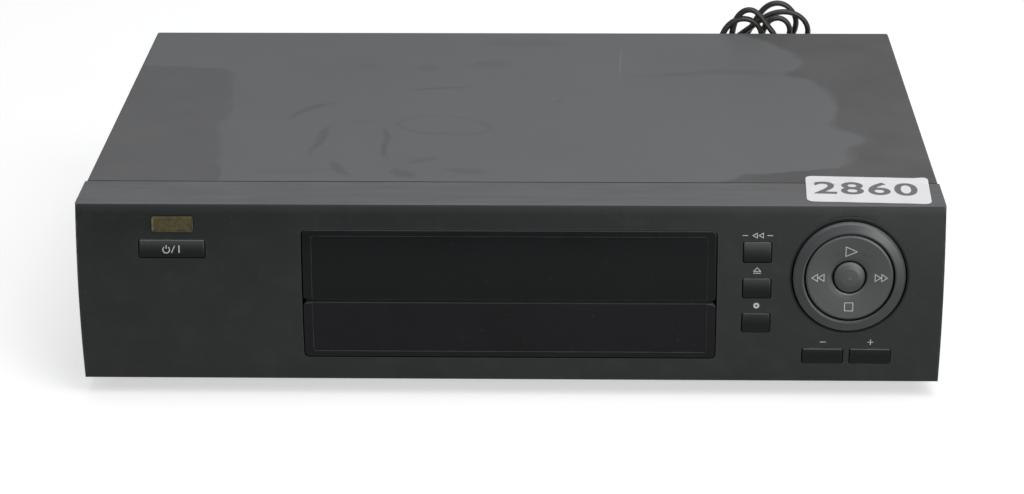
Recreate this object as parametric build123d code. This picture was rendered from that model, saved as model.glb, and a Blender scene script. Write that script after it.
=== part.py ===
from build123d import *

import os
from math import asin, atan2, cos, degrees, pi, radians, sin, sqrt, tan

# A front-loading video cassette recorder, as an assembly of separate pieces.
# Millimetres. +Z is up, +Y runs from the front panel to the rear, +X is to the right seen from
# the front. The origin is on the surface that the recorder stands on, under its middle.

# ---------------------------------------------------------------- driving dimensions
WIDTH = 400.0  # over the moulded front panel
HEIGHT = 94.0  # surface under the feet to top cover
TOP_DEPTH = 251.6  # front top edge to rear edge of the top cover
RUN_GAP = 0.3  # clearance round a part that moves in its opening
SHAFT_GAP = 0.05  # radial clearance of a shaft in its bore

# Front panel: its face is part of a cylinder that lies along X
FACE_RADIUS = 210.0
FACE_RISE = 57.0  # top edge above the level where the face stands upright
FACE_EDGE = 1.0
PANEL_DEPTH = 28.2  # top strip of the panel, front edge to the seam
PANEL_WALL = 2.4
TONGUE_DEPTH = 7.0  # lip that the cover slides over
TONGUE_WALL = 2.1
SEAM_GAP = 0.8

FOOT_HEIGHT = 8.0
FOOT_RADIUS = 12.5
FOOT_INSET_X = 34.0
FOOT_INSET_FRONT = 32.0
FOOT_INSET_REAR = 30.0
FOOT_SPIGOT = 2.0
PAD_RADIUS = 7.5
PAD_HEIGHT = 1.6

COVER_SHEET = 0.9
COVER_INSET = 0.3  # each side of the cover inside the panel's width
COVER_BEND = 1.6
COVER_FLANGE = 11.0  # turned down over the rear panel
COVER_LIFT = 2.5  # lower edge of its sides above the panel's lower edge
VENT_COUNT = 11
VENT_FROM_REAR = 36.2  # last slot's middle to the rear edge
VENT_PITCH = 7.0
VENT_WIDTH = 2.6
VENT_Z = 30.0
VENT_LENGTH = 22.0
SIDE_SCREW_INSET = (57.2, 21.2)  # behind the seam, and in front of the rear edge
SIDE_SCREW_RISE = 11.0
REAR_SCREW_X = (-150.0, 60.0)
REAR_SCREW_DROP = 6.5
CHASSIS_WALL = 2.0
CHASSIS_RIM = 16.0
CHASSIS_REAR_RIM = 6.5
LIP_DEPTH = 12.0  # chassis tongue that lies on the panel's floor
LIP_WALL = 1.9
REAR_SHEET = 1.0
SCREW_RADIUS = 1.5
SCREW_HEAD = 3.4
HEAD_HEIGHT = 1.7

CASSETTE_WIDTH = 188.0
CASSETTE_DEPTH = 103.0
DOOR_SIDE_GAP = 1.5  # door wider than the cassette, each side
DOOR_DROP = 11.6  # top edge below the top of the recorder
DOOR_HEIGHT = 33.2
DOOR_THICK = 3.0
DOOR_BORDER = 4.3  # raised strip down each side of the door
DOOR_RECESS = 0.45
DOOR_GAP = 0.4
DOOR_CORNER = 2.0
DOOR_HINGE_DROP = 2.9  # hinge axis below the door's top edge
DOOR_PIN = 1.5
DOOR_EAR = 2.6
DOOR_EAR_WIDTH = 7.5
WINDOW_GAP = 1.4  # between the door and the display window
WINDOW_HEIGHT = 27.4
WINDOW_THICK = 2.5
WINDOW_DEPTH = 8.0
RIM_WALL = 1.8
RIM_DEPTH = 9.0
SILL_WALL = 1.8

BUTTON_PROUD = 0.7
BUTTON_WALL = 1.5
BUTTON_DEPTH = 6.0
BUTTON_EDGE = 0.8
BUTTON_CROWN = 18.0  # radius of a key's rounded front
BUTTON_CROWN_DROP = 1.0  # foremost line of that front below the key's middle
BUTTON_CORNER = 0.9
BUTTON_TRAVEL = 1.0
BUTTON_FLANGE = 1.2
BUTTON_STALK = 1.6
COLLAR_WALL = 1.2
POWER_SIZE = (30.6, 8.3)
POWER_INSET = 44.5  # from the panel's left side
POWER_DROP = 20.5
SMALL_ROOM = 0.379  # width of the small keys as a share of the room from the door to the ring
SMALL_PLACE = 0.528  # middle of their column in that room
SMALL_HEIGHT = 9.4
SMALL_DROP = 21.1
SMALL_PITCH = 17.0
SMALL_COUNT = 3
CHANNEL_SIZE = (19.0, 7.6)
CHANNEL_PLACE = 0.5085  # middle of the channel keys in the room under the ring
CHANNEL_SPREAD = 22.0

KNOB_INSET = 43.6  # from the panel's right side
KNOB_DROP = 32.6
RING_RADIUS = 26.1
RING_BAND = 5.3
RING_PROUD = 2.05
RING_SKIRT = 22.4
RING_FLOOR = -5.9  # underside of the ring's flange, below the face
RING_GAP = 0.5
BUSH_DEPTH = 2.0
SEAT_WALL = 1.6
DISC_GAP = 0.6
DISC_BORE = 7.9
GIMBAL_SEAT = 14.4  # middle of the ears and posts from the knob's axis
GIMBAL_Z = -7.2
GIMBAL_PIN = 0.9
GIMBAL_INNER = 9.6
GIMBAL_OUTER = 12.6
PAUSE_RADIUS = 7.2
PAUSE_STEM = 2.0
KNOB_DEPTH = 12.0  # face to the knob base

BOARD_SETBACK = 20.9  # front board behind the foremost line of the face
BOARD_THICK = 1.6
BOARD_SCREW = 1.2
BOARD_RISE = 8.0  # underside of the main and power boards above the chassis bottom
SINK_BELOW_TOP = 30.4  # top of the heat sink's fins below the top cover
SWITCH_BODY = 3.6
SWITCH_HEIGHT = 4.5
TUBE_SIZE = (118.0, 20.0, 6.5)
TUBE_STANDOFF = 3.0

DECK_RISE = 16.0  # top of the deck above the chassis bottom
DECK_SHEET = 1.6
DECK_SIDE = 14.0  # deck beyond the side brackets
DECK_GAP = 4.9  # deck's front edge behind the front board
DECK_DEPTH = 190.0
DECK_FLANGE = 5.0
DECK_POST_INSET = (8.0, 14.0, 8.0)  # from the deck's sides, front and rear

SLOT_RISE = 1.1  # holder's floor above the door's lower edge
SIDE_PLAY = 0.8  # cassette to the holder's side
HOLDER_SHEET = 1.0
HOLDER_FRONT = 22.0  # holder's front edge behind the foremost line of the face
HOLDER_DEPTH = 50.0
HOLDER_HEIGHT = 30.0
HOLDER_TRAVEL = 45.0
HOLDER_DROP = 20.0
GUIDE_PIN = 2.0
GUIDE_PIN_RISE = 15.7
GUIDE_PIN_FROM_REAR = (24.0, 6.0)
BRACKET_SHEET = 1.2
BRACKET_GAP = 2.2  # holder's side to the bracket
BRACKET_DROP = 7.0  # below the top of the recorder
BRACKET_FOOT = 11.0

REEL_SPACING = 92.0
REEL_RADIUS = 19.0
REEL_HUB = 8.6
REEL_TEETH = 36
REEL_FLOOR = 1.0  # underside of the reel tables above the deck
REEL_GAP = 3.2  # from their hubs to the cassette holder above
SHAFT_RADIUS = 2.0
DRUM_X = -4.0
DRUM_GAP = 47.0  # drum axis behind the loaded cassette
DRUM_RADIUS = 31.0
DRUM_TILT = 6.0
DRUM_LIFT = 6.0
DRUM_LOWER = 15.0
DRUM_UPPER = 19.0
DRUM_SHAFT = 3.0
GUIDE_RADIUS = 52.0  # of the tape guides' path round the drum
GUIDE_SLOT = 7.0
GUIDE_START = 22.0  # degrees each side of the line from the drum to the cassette
GUIDE_SWING = 90.0
CAPSTAN_X = 62.0
CAPSTAN_GAP = 9.0  # capstan axis behind the loaded cassette
FLYWHEEL_RADIUS = 26.0
CAPSTAN_TUBE = 10.0  # top of the capstan's bearing above the deck
PINCH_RADIUS = 6.5
PINCH_ARM = 30.0
PINCH_REST = 20.0  # degrees that the arm stands off the capstan
CAM_FROM_CAPSTAN = (22.0, 56.0)
CAM_RADIUS = 22.0
CAM_TEETH = 44
WORM_RADIUS = 4.0
MOTOR_RADIUS = 7.8

SOCKET_X = (-84.0, -24.0)
SOCKET_HALF = (23.5, 7.2)
SOCKET_DEPTH = 14.0
SOCKET_RISE = 32.4  # middle above the main board
AERIAL_INSET = (24.0, 52.0)  # from the left side
AERIAL_RADIUS = 4.75
AERIAL_COLLAR = 6.2
COLLAR_PROUD = 1.0
AERIAL_REACH = 10.3
AUDIO_X = 30.0
AUDIO_RISE = (40.4, 22.4)
AUDIO_RADIUS = 4.15
AUDIO_COLLAR = 5.9
AUDIO_REACH = 9.0

CORD_WIDTH = 5.4
CORD_INSET = 16.0  # cord grip from the right side
CORD_RISE = 26.0
SLEEVE_LENGTH = 20.0
HANK_X = 134.5
HANK_WIDTH = 50.0
HANK_HEIGHT = 108.5
HANK_THICK = 24.0
HANK_CORNER = 9.0
HANK_LEAN = radians(3.5)  # top towards the rear panel
PLUG_LENGTH = 36.0
PLUG_WIDTH = 26.0
PLUG_HEIGHT = 13.6
PLUG_PIN = 2.0
PLUG_PIN_SPREAD = 18.6
PLUG_PIN_LENGTH = 19.0

# ---------------------------------------------------------------- derived places
HALF = WIDTH / 2
KNOB_X = HALF - KNOB_INSET
KNOB_Z = HEIGHT - KNOB_DROP
FACE_MID_Z = HEIGHT - FACE_RISE
KNOB_TILT = asin((KNOB_Z - FACE_MID_Z) / FACE_RADIUS)
RING_LEAD = (
    RING_PROUD * cos(KNOB_TILT)
    + (RING_RADIUS - RING_BAND + 0.9) * sin(KNOB_TILT)
    - FACE_RADIUS * (1 - cos(KNOB_TILT))
)
FACE_SETBACK = FACE_RADIUS - sqrt(FACE_RADIUS**2 - FACE_RISE**2)
FRONT_Y = RING_LEAD - (RING_LEAD + FACE_SETBACK + TOP_DEPTH + AERIAL_REACH) / 2
FACE_AXIS_Y = FRONT_Y + FACE_RADIUS


def face_y(z, out=0.0):
    """Y of the front panel's face, or of a surface that far outside it, at a height."""
    return FACE_AXIS_Y - sqrt((FACE_RADIUS + out) ** 2 - (z - FACE_MID_Z) ** 2)


TOP_EDGE_Y = face_y(HEIGHT)
SEAM_Y = TOP_EDGE_Y + PANEL_DEPTH
REAR_Y = TOP_EDGE_Y + TOP_DEPTH
COVER_HALF = HALF - COVER_INSET
INNER_HALF = COVER_HALF - COVER_SHEET - RUN_GAP  # what slides inside the cover
PANEL_BACK = REAR_Y - COVER_SHEET  # outer face of the rear panel
PANEL_INSIDE = PANEL_BACK - REAR_SHEET

DOOR_WIDTH = CASSETTE_WIDTH + 2 * DOOR_SIDE_GAP
DOOR_TOP = HEIGHT - DOOR_DROP
DOOR_BOTTOM = DOOR_TOP - DOOR_HEIGHT
DOOR_HINGE_Z = DOOR_TOP - DOOR_HINGE_DROP
DOOR_HINGE_Y = face_y(DOOR_HINGE_Z) + DOOR_THICK
WINDOW_TOP = DOOR_BOTTOM - WINDOW_GAP
WINDOW_BOTTOM = WINDOW_TOP - WINDOW_HEIGHT
OPENING_HALF = DOOR_WIDTH / 2 + DOOR_GAP
SILL_Z = WINDOW_TOP - 0.2

BOARD_Y = FRONT_Y + BOARD_SETBACK
BOARD_Z = FOOT_HEIGHT + BOARD_RISE
BOARD_TOP = BOARD_Z + BOARD_THICK
KNOB_PLANE = Plane(
    origin=(KNOB_X, face_y(KNOB_Z), KNOB_Z),
    x_dir=(1, 0, 0),
    z_dir=(0, -cos(KNOB_TILT), sin(KNOB_TILT)),
)
PAUSE_SWITCH_Z = KNOB_Z - (BOARD_Y - face_y(KNOB_Z)) * tan(KNOB_TILT)

SLOT_FLOOR_Z = DOOR_BOTTOM + SLOT_RISE
HOLDER_HALF = CASSETTE_WIDTH / 2 + SIDE_PLAY
HOLDER_Y = FRONT_Y + HOLDER_FRONT
HOLDER_REAR_Y = HOLDER_Y + HOLDER_DEPTH
LOADED_Y = HOLDER_REAR_Y + HOLDER_TRAVEL  # far edge of a loaded cassette
BRACKET_X = HOLDER_HALF + HOLDER_SHEET + BRACKET_GAP
BRACKET_TOP = HEIGHT - BRACKET_DROP
GUIDE_PIN_Z = SLOT_FLOOR_Z + GUIDE_PIN_RISE
GUIDE_PIN_Y = [HOLDER_REAR_Y - back for back in GUIDE_PIN_FROM_REAR]

DECK_Z = FOOT_HEIGHT + DECK_RISE
DECK_BOTTOM = DECK_Z - DECK_SHEET
DECK_HALF = BRACKET_X + DECK_SIDE
DECK_FRONT_Y = BOARD_Y + BOARD_THICK + DECK_GAP
DECK_REAR_Y = DECK_FRONT_Y + DECK_DEPTH
REEL_Y = LOADED_Y - CASSETTE_DEPTH / 2
REEL_HEIGHT = SLOT_FLOOR_Z - HOLDER_SHEET - REEL_GAP - DECK_Z - REEL_FLOOR
DRUM_Y = LOADED_Y + DRUM_GAP
DRUM_Z = DECK_Z + DRUM_LIFT
CAPSTAN_Y = LOADED_Y + CAPSTAN_GAP
PINCH_PIVOT = (CAPSTAN_X + PINCH_ARM, CAPSTAN_Y + SHAFT_RADIUS + PINCH_RADIUS + RUN_GAP)
PINCH_LIFT = CAPSTAN_TUBE - 0.4  # the pinch arm's plate above its hub's foot
CAM_X = CAPSTAN_X + CAM_FROM_CAPSTAN[0]
CAM_Y = CAPSTAN_Y + CAM_FROM_CAPSTAN[1]
WORM_Y = CAM_Y + CAM_RADIUS + 0.9 + WORM_RADIUS + 0.15
WORM_Z = DECK_Z + MOTOR_RADIUS + 0.7

SOCKET_Z = BOARD_TOP + SOCKET_RISE
AERIAL_X = [-HALF + inset for inset in AERIAL_INSET]
AUDIO_Z = [BOARD_TOP + rise for rise in AUDIO_RISE]
CORD_X = HALF - CORD_INSET
CORD_Z = FOOT_HEIGHT + CORD_RISE
SLEEVE_END_Y = PANEL_BACK + 2.6 + SLEEVE_LENGTH
HANK_LIFT = HANK_THICK / 2 * sin(HANK_LEAN) + 0.2
HANK_Y = REAR_Y + RUN_GAP + HANK_THICK / 2 * cos(HANK_LEAN) + HANK_HEIGHT * sin(HANK_LEAN)


# ---------------------------------------------------------------- small helpers
def block(x0, x1, y0, y1, z0, z1):
    """A box from its corner values."""
    return Pos((x0 + x1) / 2, (y0 + y1) / 2, (z0 + z1) / 2) * Box(x1 - x0, y1 - y0, z1 - z0)


def side_block(side, a, b, y0, y1, z0, z1):
    """A box between two distances from the middle plane, on one side of it."""
    x0, x1 = sorted((side * a, side * b))
    return block(x0, x1, y0, y1, z0, z1)


def post(x, y, z0, z1, radius):
    """An upright cylinder."""
    return Pos(x, y, (z0 + z1) / 2) * Cylinder(radius, z1 - z0)


def rod_y(x, z, y0, y1, radius):
    """A cylinder along Y."""
    return Pos(x, (y0 + y1) / 2, z) * Rot(90, 0, 0) * Cylinder(radius, y1 - y0)


def rod_x(y, z, x0, x1, radius):
    """A cylinder along X."""
    return Pos((x0 + x1) / 2, y, z) * Rot(0, 90, 0) * Cylinder(radius, abs(x1 - x0))


def turned(points):
    """A solid of revolution about Z from (radius, height) points."""
    return revolve(Plane.XZ * make_face(Polyline(*points, close=True)), Axis.Z)


def tablet(width, height, corner, x, z, y0, y1):
    """A rounded rectangle in XZ, drawn out along Y."""
    outline = Pos(x, y0, z) * Rot(-90, 0, 0) * RectangleRounded(width, height, corner)
    return extrude(outline, y1 - y0, dir=(0, 1, 0))


def within_face(out):
    """Everything behind the front panel's face, or behind a surface that far outside it."""
    return Pos(0, FACE_AXIS_Y, FACE_MID_Z) * Rot(0, 90, 0) * Cylinder(FACE_RADIUS + out, 2 * WIDTH)


def within_crown(z, out):
    """Everything behind the rounded front of a key whose middle is at that height."""
    slope = asin((z - FACE_MID_Z) / FACE_RADIUS)
    depth = BUTTON_CROWN - out
    axis_y = face_y(z) + depth * cos(slope) - BUTTON_CROWN_DROP * sin(slope)
    axis_z = z - depth * sin(slope) - BUTTON_CROWN_DROP * cos(slope)
    return Pos(0, axis_y, axis_z) * Rot(0, 90, 0) * Cylinder(BUTTON_CROWN, 2 * WIDTH)


def curved_front(shape):
    """The face of a moulding that follows the panel's curve."""
    return shape.faces().filter_by(GeomType.CYLINDER).sort_by(Axis.Y)[0]


def group(solids):
    """Like pieces in one node."""
    return Compound(children=[piece.solid() for piece in solids])


def save(name, shape):
    """Writes one piece to its own file."""
    shape.label = name
    export_step(shape, f"parts/{name}.step")


# ---------------------------------------------------------------- front panel
def button_places():
    """(x, z, size) of every rectangular button: power, the small column, the channel pair."""
    room = KNOB_X - RING_RADIUS - OPENING_HALF
    small_x, small_z = OPENING_HALF + SMALL_PLACE * room, HEIGHT - SMALL_DROP
    small_size = (SMALL_ROOM * room, SMALL_HEIGHT)
    small = [(small_x, small_z - i * SMALL_PITCH, small_size) for i in range(SMALL_COUNT)]
    under_ring = KNOB_Z - RING_RADIUS * cos(KNOB_TILT) - FOOT_HEIGHT
    channel_z = FOOT_HEIGHT + CHANNEL_PLACE * under_ring
    channel = [(KNOB_X + side * CHANNEL_SPREAD / 2, channel_z, CHANNEL_SIZE) for side in (-1, 1)]
    return [(POWER_INSET - HALF, HEIGHT - POWER_DROP, POWER_SIZE), *small, *channel]


def board_screws():
    """(x, z) of the screws that hold the front board."""
    high, low = HEIGHT - 10, FOOT_HEIGHT + 8
    left = [(x, z) for x in (15 - HALF, -24 - OPENING_HALF) for z in (high, low)]
    right = [(KNOB_X + offset, z) for offset in (-30.4, 33.6) for z in (high, low)]
    return left + right


def fascia():
    """Moulded front panel: curved face, returns to the seam, openings, rims and bosses."""
    wall = PANEL_WALL
    outer = block(-HALF, HALF, FRONT_Y - 5, SEAM_Y, FOOT_HEIGHT, HEIGHT) & within_face(0)
    outer = fillet(curved_front(outer).edges(), FACE_EDGE)
    hollow = block(
        -HALF + wall, HALF - wall, FRONT_Y - 5, SEAM_Y + 1, FOOT_HEIGHT + wall, HEIGHT - wall
    )
    body = outer - (hollow & within_face(-wall))

    # tongue that the sheet metal cover slides over
    tongue_y = SEAM_Y + TONGUE_DEPTH
    tongue_top = HEIGHT - COVER_SHEET - RUN_GAP
    tongue = block(-INNER_HALF, INNER_HALF, SEAM_Y - wall, tongue_y, FOOT_HEIGHT, tongue_top)
    tongue -= block(
        TONGUE_WALL - INNER_HALF, INNER_HALF - TONGUE_WALL, SEAM_Y - wall - 1, tongue_y + 1,
        FOOT_HEIGHT - 1, tongue_top - TONGUE_WALL,
    )
    body += tongue

    body = with_opening(body)
    for x, z, size in button_places():
        body = with_collar(body, x, z, size)
    body = with_ring_seat(body)

    # screw bosses for the front board
    for x, z in board_screws():
        body += rod_y(x, z, face_y(z) + wall / 2, BOARD_Y, 3.2)
        body -= rod_y(x, z, BOARD_Y - 8, BOARD_Y + 1, BOARD_SCREW)
    return body


def with_opening(body):
    """The opening for the door and the display window, its rim, bearings and sill."""
    top = DOOR_TOP + DOOR_GAP
    bottom = WINDOW_BOTTOM - DOOR_GAP
    height, middle = top - bottom, (top + bottom) / 2
    corner = DOOR_CORNER + DOOR_GAP
    rim_back = face_y(DOOR_TOP) + RIM_DEPTH
    rim = tablet(
        2 * (OPENING_HALF + RIM_WALL), height + 2 * RIM_WALL, corner + RIM_WALL, 0, middle,
        FRONT_Y - 2, rim_back,
    )
    body += rim & within_face(-PANEL_WALL / 2)
    body -= tablet(2 * OPENING_HALF, height, corner, 0, middle, FRONT_Y - 8, rim_back + 1)
    reach = OPENING_HALF + RIM_WALL + 1
    body -= rod_x(DOOR_HINGE_Y, DOOR_HINGE_Z, -reach, reach, DOOR_PIN + SHAFT_GAP)
    # sill behind the window's top edge: the floor that the cassette is pushed in over
    sill_front = FRONT_Y + WINDOW_DEPTH + 0.1
    sill_back = HOLDER_Y - RUN_GAP - 0.2
    half = OPENING_HALF + 0.5
    body += block(-half, half, sill_front, sill_back, SILL_Z - SILL_WALL, SILL_Z)
    return body


def with_collar(body, x, z, size):
    """The opening for one key, with the collar that guides it."""
    w, h = size
    gap = 2 * RUN_GAP
    outer = 2 * COLLAR_WALL + gap
    collar = tablet(
        w + outer, h + outer, BUTTON_CORNER + COLLAR_WALL, x, z, FRONT_Y, collar_back(z)
    )
    hole = tablet(w + gap, h + gap, BUTTON_CORNER + RUN_GAP, x, z, FRONT_Y - 8, collar_back(z) + 1)
    return body + (collar & within_face(-PANEL_WALL / 2)) - hole


def collar_back(z):
    """Y of the rear end of a key's collar."""
    return face_y(z) + BUTTON_DEPTH - BUTTON_TRAVEL


def with_ring_seat(body):
    """Round seat for the shuttle ring, with the bush that its skirt turns in."""
    well = RING_RADIUS + RING_GAP
    bush = RING_SKIRT + SHAFT_GAP
    bush_top = RING_FLOOR - RUN_GAP
    bush_foot = bush_top - BUSH_DEPTH
    seat = turned(
        [(well, -PANEL_WALL / 2), (well + SEAT_WALL, -PANEL_WALL / 2), (well + SEAT_WALL, -KNOB_DEPTH),
         (well, -KNOB_DEPTH), (well, bush_foot), (bush, bush_foot), (bush, bush_top), (well, bush_top)]
    )
    pit = Pos(0, 0, -KNOB_DEPTH / 2 + 2) * Cylinder(well, KNOB_DEPTH + 4)
    return body - KNOB_PLANE * pit + KNOB_PLANE * seat


def button(x, z, size):
    """A key: shallow moulded cap, a flange behind its collar and a stalk to its switch."""
    w, h = size
    back = face_y(z) + BUTTON_DEPTH
    cap = tablet(w, h, BUTTON_CORNER, x, z, FRONT_Y - 5, back) & within_crown(z, BUTTON_PROUD)
    cap = fillet(curved_front(cap).edges(), BUTTON_EDGE)
    flange = 2 * BUTTON_FLANGE
    flange_y = collar_back(z) + 0.2
    cap += tablet(w + flange, h + flange, BUTTON_CORNER, x, z, flange_y, flange_y + 1.2)
    wall = 2 * BUTTON_WALL
    inside = tablet(w - wall, h - wall, 0.4, x, z, FRONT_Y - 5, back + 5)
    cap -= inside & within_crown(z, BUTTON_PROUD - BUTTON_WALL)
    stalk_end = BOARD_Y - SWITCH_HEIGHT - BUTTON_TRAVEL - RUN_GAP
    return cap + rod_y(x, z, face_y(z) + 0.4, stalk_end, BUTTON_STALK)


def tact_switches():
    """One push switch on the front board behind each key and behind the pause key."""
    switches = []
    places = [(x, z) for x, z, _ in button_places()] + [(KNOB_X, PAUSE_SWITCH_Z)]
    for x, z in places:
        base = block(x - 3, x + 3, BOARD_Y - SWITCH_BODY, BOARD_Y, z - 3, z + 3)
        plunger = rod_y(x, z, BOARD_Y - SWITCH_HEIGHT, BOARD_Y - SWITCH_BODY + 0.1, 1.7)
        switches.append(base + plunger)
    return group(switches)


def front_board():
    """Printed board behind the panel: two wings joined below the cassette throat."""
    throat_z = SILL_Z - SILL_WALL - 2.0
    z0, z1 = FOOT_HEIGHT + PANEL_WALL + LIP_WALL + 0.7, HEIGHT - PANEL_WALL - 3.0
    edge = HALF - PANEL_WALL - 2.0
    notch = OPENING_HALF + 3.0
    outline = make_face(
        Polyline(
            (-edge, z0), (edge, z0), (edge, z1), (notch, z1), (notch, throat_z),
            (-notch, throat_z), (-notch, z1), (-edge, z1), close=True,
        )
    )
    board = extrude(Plane.XZ.offset(-BOARD_Y) * outline, -BOARD_THICK)
    for x, z in board_screws():
        board -= rod_y(x, z, BOARD_Y - 1, BOARD_Y + 3, BOARD_SCREW + 0.3)
    return board


def front_board_screws():
    """Pan-head screws that hold the front board to the panel's bosses."""
    back = BOARD_Y + BOARD_THICK
    screws = []
    for x, z in board_screws():
        head = rod_y(x, z, back, back + HEAD_HEIGHT, 2.6)
        screws.append(head + rod_y(x, z, BOARD_Y - 6, back + 0.2, BOARD_SCREW - 0.02))
    return group(screws)


def cassette_door():
    """Flap over the cassette slot, hung on two pins at its top corners."""
    middle = (DOOR_TOP + DOOR_BOTTOM) / 2
    prism = tablet(DOOR_WIDTH, DOOR_HEIGHT, DOOR_CORNER, 0, middle, FRONT_Y - 5, FRONT_Y + 20)
    door = (prism & within_face(0)) - within_face(-DOOR_THICK)
    door = fillet(curved_front(door).edges(), 0.7)
    inner = DOOR_WIDTH - 2 * DOOR_BORDER
    recess = tablet(inner, DOOR_HEIGHT, 0.8, 0, middle - 2.9, FRONT_Y - 5, FRONT_Y + 20)
    door -= recess - within_face(-DOOR_RECESS)
    outer = DOOR_WIDTH / 2
    ear_in, ear_out = outer - DOOR_EAR_WIDTH, outer - 1.0
    for side in (-1, 1):
        ear = rod_x(DOOR_HINGE_Y, DOOR_HINGE_Z, side * ear_in, side * ear_out, DOOR_EAR)
        web = side_block(
            side, ear_in, ear_out, face_y(DOOR_HINGE_Z) + 1.5, DOOR_HINGE_Y, DOOR_HINGE_Z - 5,
            DOOR_HINGE_Z,
        )
        door += (ear + web) & within_face(-1.0)
        pin_end = OPENING_HALF + RIM_WALL - RUN_GAP
        door += rod_x(DOOR_HINGE_Y, DOOR_HINGE_Z, side * (ear_out - 1), side * pin_end, DOOR_PIN)
    # stiffening ribs on the back, drawn inside the swing of the door's lower edge
    for x in (-60, -20, 20, 60):
        rib = block(x - 0.6, x + 0.6, FRONT_Y, FRONT_Y + 20, DOOR_BOTTOM + 3, DOOR_TOP - 6)
        door += (rib & within_face(-DOOR_THICK / 2)) - within_face(-DOOR_THICK - 1.6)
    return door


def display_window():
    """Smoked window under the door, with turned-in walls that clip into the same opening."""
    middle = (WINDOW_TOP + WINDOW_BOTTOM) / 2
    prism = tablet(DOOR_WIDTH, WINDOW_HEIGHT, DOOR_CORNER, 0, middle, FRONT_Y - 5, FRONT_Y + 20)
    window = (prism & within_face(0)) - within_face(-WINDOW_THICK)
    window = fillet(curved_front(window).edges(), 0.5)
    inner = DOOR_WIDTH - 2 * DOOR_BORDER
    recess = tablet(inner, WINDOW_HEIGHT, 0.8, 0, middle + 2.9, FRONT_Y - 5, FRONT_Y + 20)
    window -= recess - within_face(-DOOR_RECESS)
    back = FRONT_Y + WINDOW_DEPTH
    wall = tablet(DOOR_WIDTH, WINDOW_HEIGHT, DOOR_CORNER, 0, middle, FRONT_Y, back)
    wall -= tablet(DOOR_WIDTH - 3, WINDOW_HEIGHT - 3, 1.0, 0, middle, FRONT_Y - 1, back + 1)
    return window + (wall & within_face(-WINDOW_THICK / 2))


def display_tube():
    """Fluorescent display: flat glass envelope with its pins into the front board."""
    width, height, depth = TUBE_SIZE
    z = (WINDOW_TOP + WINDOW_BOTTOM) / 2
    back = BOARD_Y - TUBE_STANDOFF
    tube = block(-width / 2, width / 2, back - depth, back, z - height / 2, z + height / 2)
    tube = fillet(tube.edges().filter_by(Axis.Y), 1.5)
    tube += rod_y(width / 2 - 8, z - height / 2 + 4, back - depth - 2, back - depth + 1, 1.6)
    for i in range(12):
        x = (i - 5.5) * width / 13
        foot = z - height / 2 + 1
        tube += block(x - 0.4, x + 0.4, back - 0.5, BOARD_Y, foot, foot + 0.8)
    return tube


# ---------------------------------------------------------------- shuttle control
def shuttle_ring():
    """Spring-centred outer ring; its skirt turns in the panel's bush and snaps behind it."""
    r = RING_RADIUS
    inner = r - RING_BAND
    foot = 1.2 - KNOB_DEPTH
    ring = turned(
        [(r, RING_FLOOR), (r, -0.9), (r - 0.35, 0.1), (r - 1.1, 0.75), (r - 2.4, 1.25),
         (inner + 0.9, RING_PROUD), (inner + 0.25, RING_PROUD - 0.1), (inner, RING_PROUD - 0.55),
         (inner, foot), (RING_SKIRT, foot), (RING_SKIRT, RING_FLOOR)]
    )
    catch = RING_FLOOR - 2 * RUN_GAP - BUSH_DEPTH
    hook = turned(
        [(RING_SKIRT - 0.4, catch), (RING_SKIRT + 0.9, catch), (RING_SKIRT + 0.2, catch - 1.7),
         (RING_SKIRT - 0.4, catch - 1.7)]
    )
    for i in range(3):
        sector = Rot(0, 0, 120 * i) * (Pos(RING_SKIRT, 0, catch) * Box(8, 7, 6))
        ring += hook & sector
    return KNOB_PLANE * ring


def play_disc():
    """Four-way key in the middle of the ring, carried by the gimbal's side pins."""
    r = RING_RADIUS - RING_BAND - DISC_GAP
    disc = turned(
        [(DISC_BORE, -3.4), (r, -3.4), (r, 0.7), (r - 0.3, 1.3), (r - 1.0, 1.6), (r - 6.0, 1.35),
         (DISC_BORE + 2.4, 1.1), (DISC_BORE + 0.6, 0.9), (DISC_BORE, 0.4)]
    )
    for side in (-1, 1):
        ear = Pos(side * GIMBAL_SEAT, 0, (GIMBAL_Z - 1.5 - 3.0) / 2) * Box(2.0, 5.0, -3.0 - GIMBAL_Z + 1.5)
        bore = Pos(side * GIMBAL_SEAT, 0, GIMBAL_Z) * Rot(0, 90, 0) * Cylinder(GIMBAL_PIN + SHAFT_GAP, 3)
        disc += ear - bore
    return KNOB_PLANE * disc


def disc_gimbal():
    """Ring that lets the disc rock both ways: two pins in the base, two in the disc."""
    ring = Pos(0, 0, GIMBAL_Z) * (Cylinder(GIMBAL_OUTER, 2.4) - Cylinder(GIMBAL_INNER, 2.4))
    reach = GIMBAL_SEAT + 1.0
    start = GIMBAL_OUTER - 0.6
    for i in range(4):
        pin = Rot(0, 90, 0) * Cylinder(GIMBAL_PIN, reach - start)
        ring += Rot(0, 0, 90 * i) * Pos((start + reach) / 2, 0, GIMBAL_Z) * pin
    return KNOB_PLANE * ring


def knob_base():
    """Moulding behind the ring: gimbal posts, guide bore for the pause key's stem."""
    base = Pos(0, 0, -KNOB_DEPTH - 1.0) * Cylinder(RING_RADIUS + RING_GAP + SEAT_WALL, 2.0)
    base += Pos(0, 0, -KNOB_DEPTH + 1.0) * Cylinder(4.0, 2.4)
    leg_top = GIMBAL_Z + 2.0
    leg = Box(5.0, 2.0, leg_top + KNOB_DEPTH + 0.5)
    for side in (-1, 1):
        base += Pos(0, side * GIMBAL_SEAT, (leg_top - KNOB_DEPTH - 0.5) / 2) * leg
        bore = Rot(90, 0, 0) * Cylinder(GIMBAL_PIN + SHAFT_GAP, 3)
        base -= Pos(0, side * GIMBAL_SEAT, GIMBAL_Z) * bore
    base -= Pos(0, 0, -KNOB_DEPTH) * Cylinder(PAUSE_STEM + SHAFT_GAP, 12)
    return KNOB_PLANE * base


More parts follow.
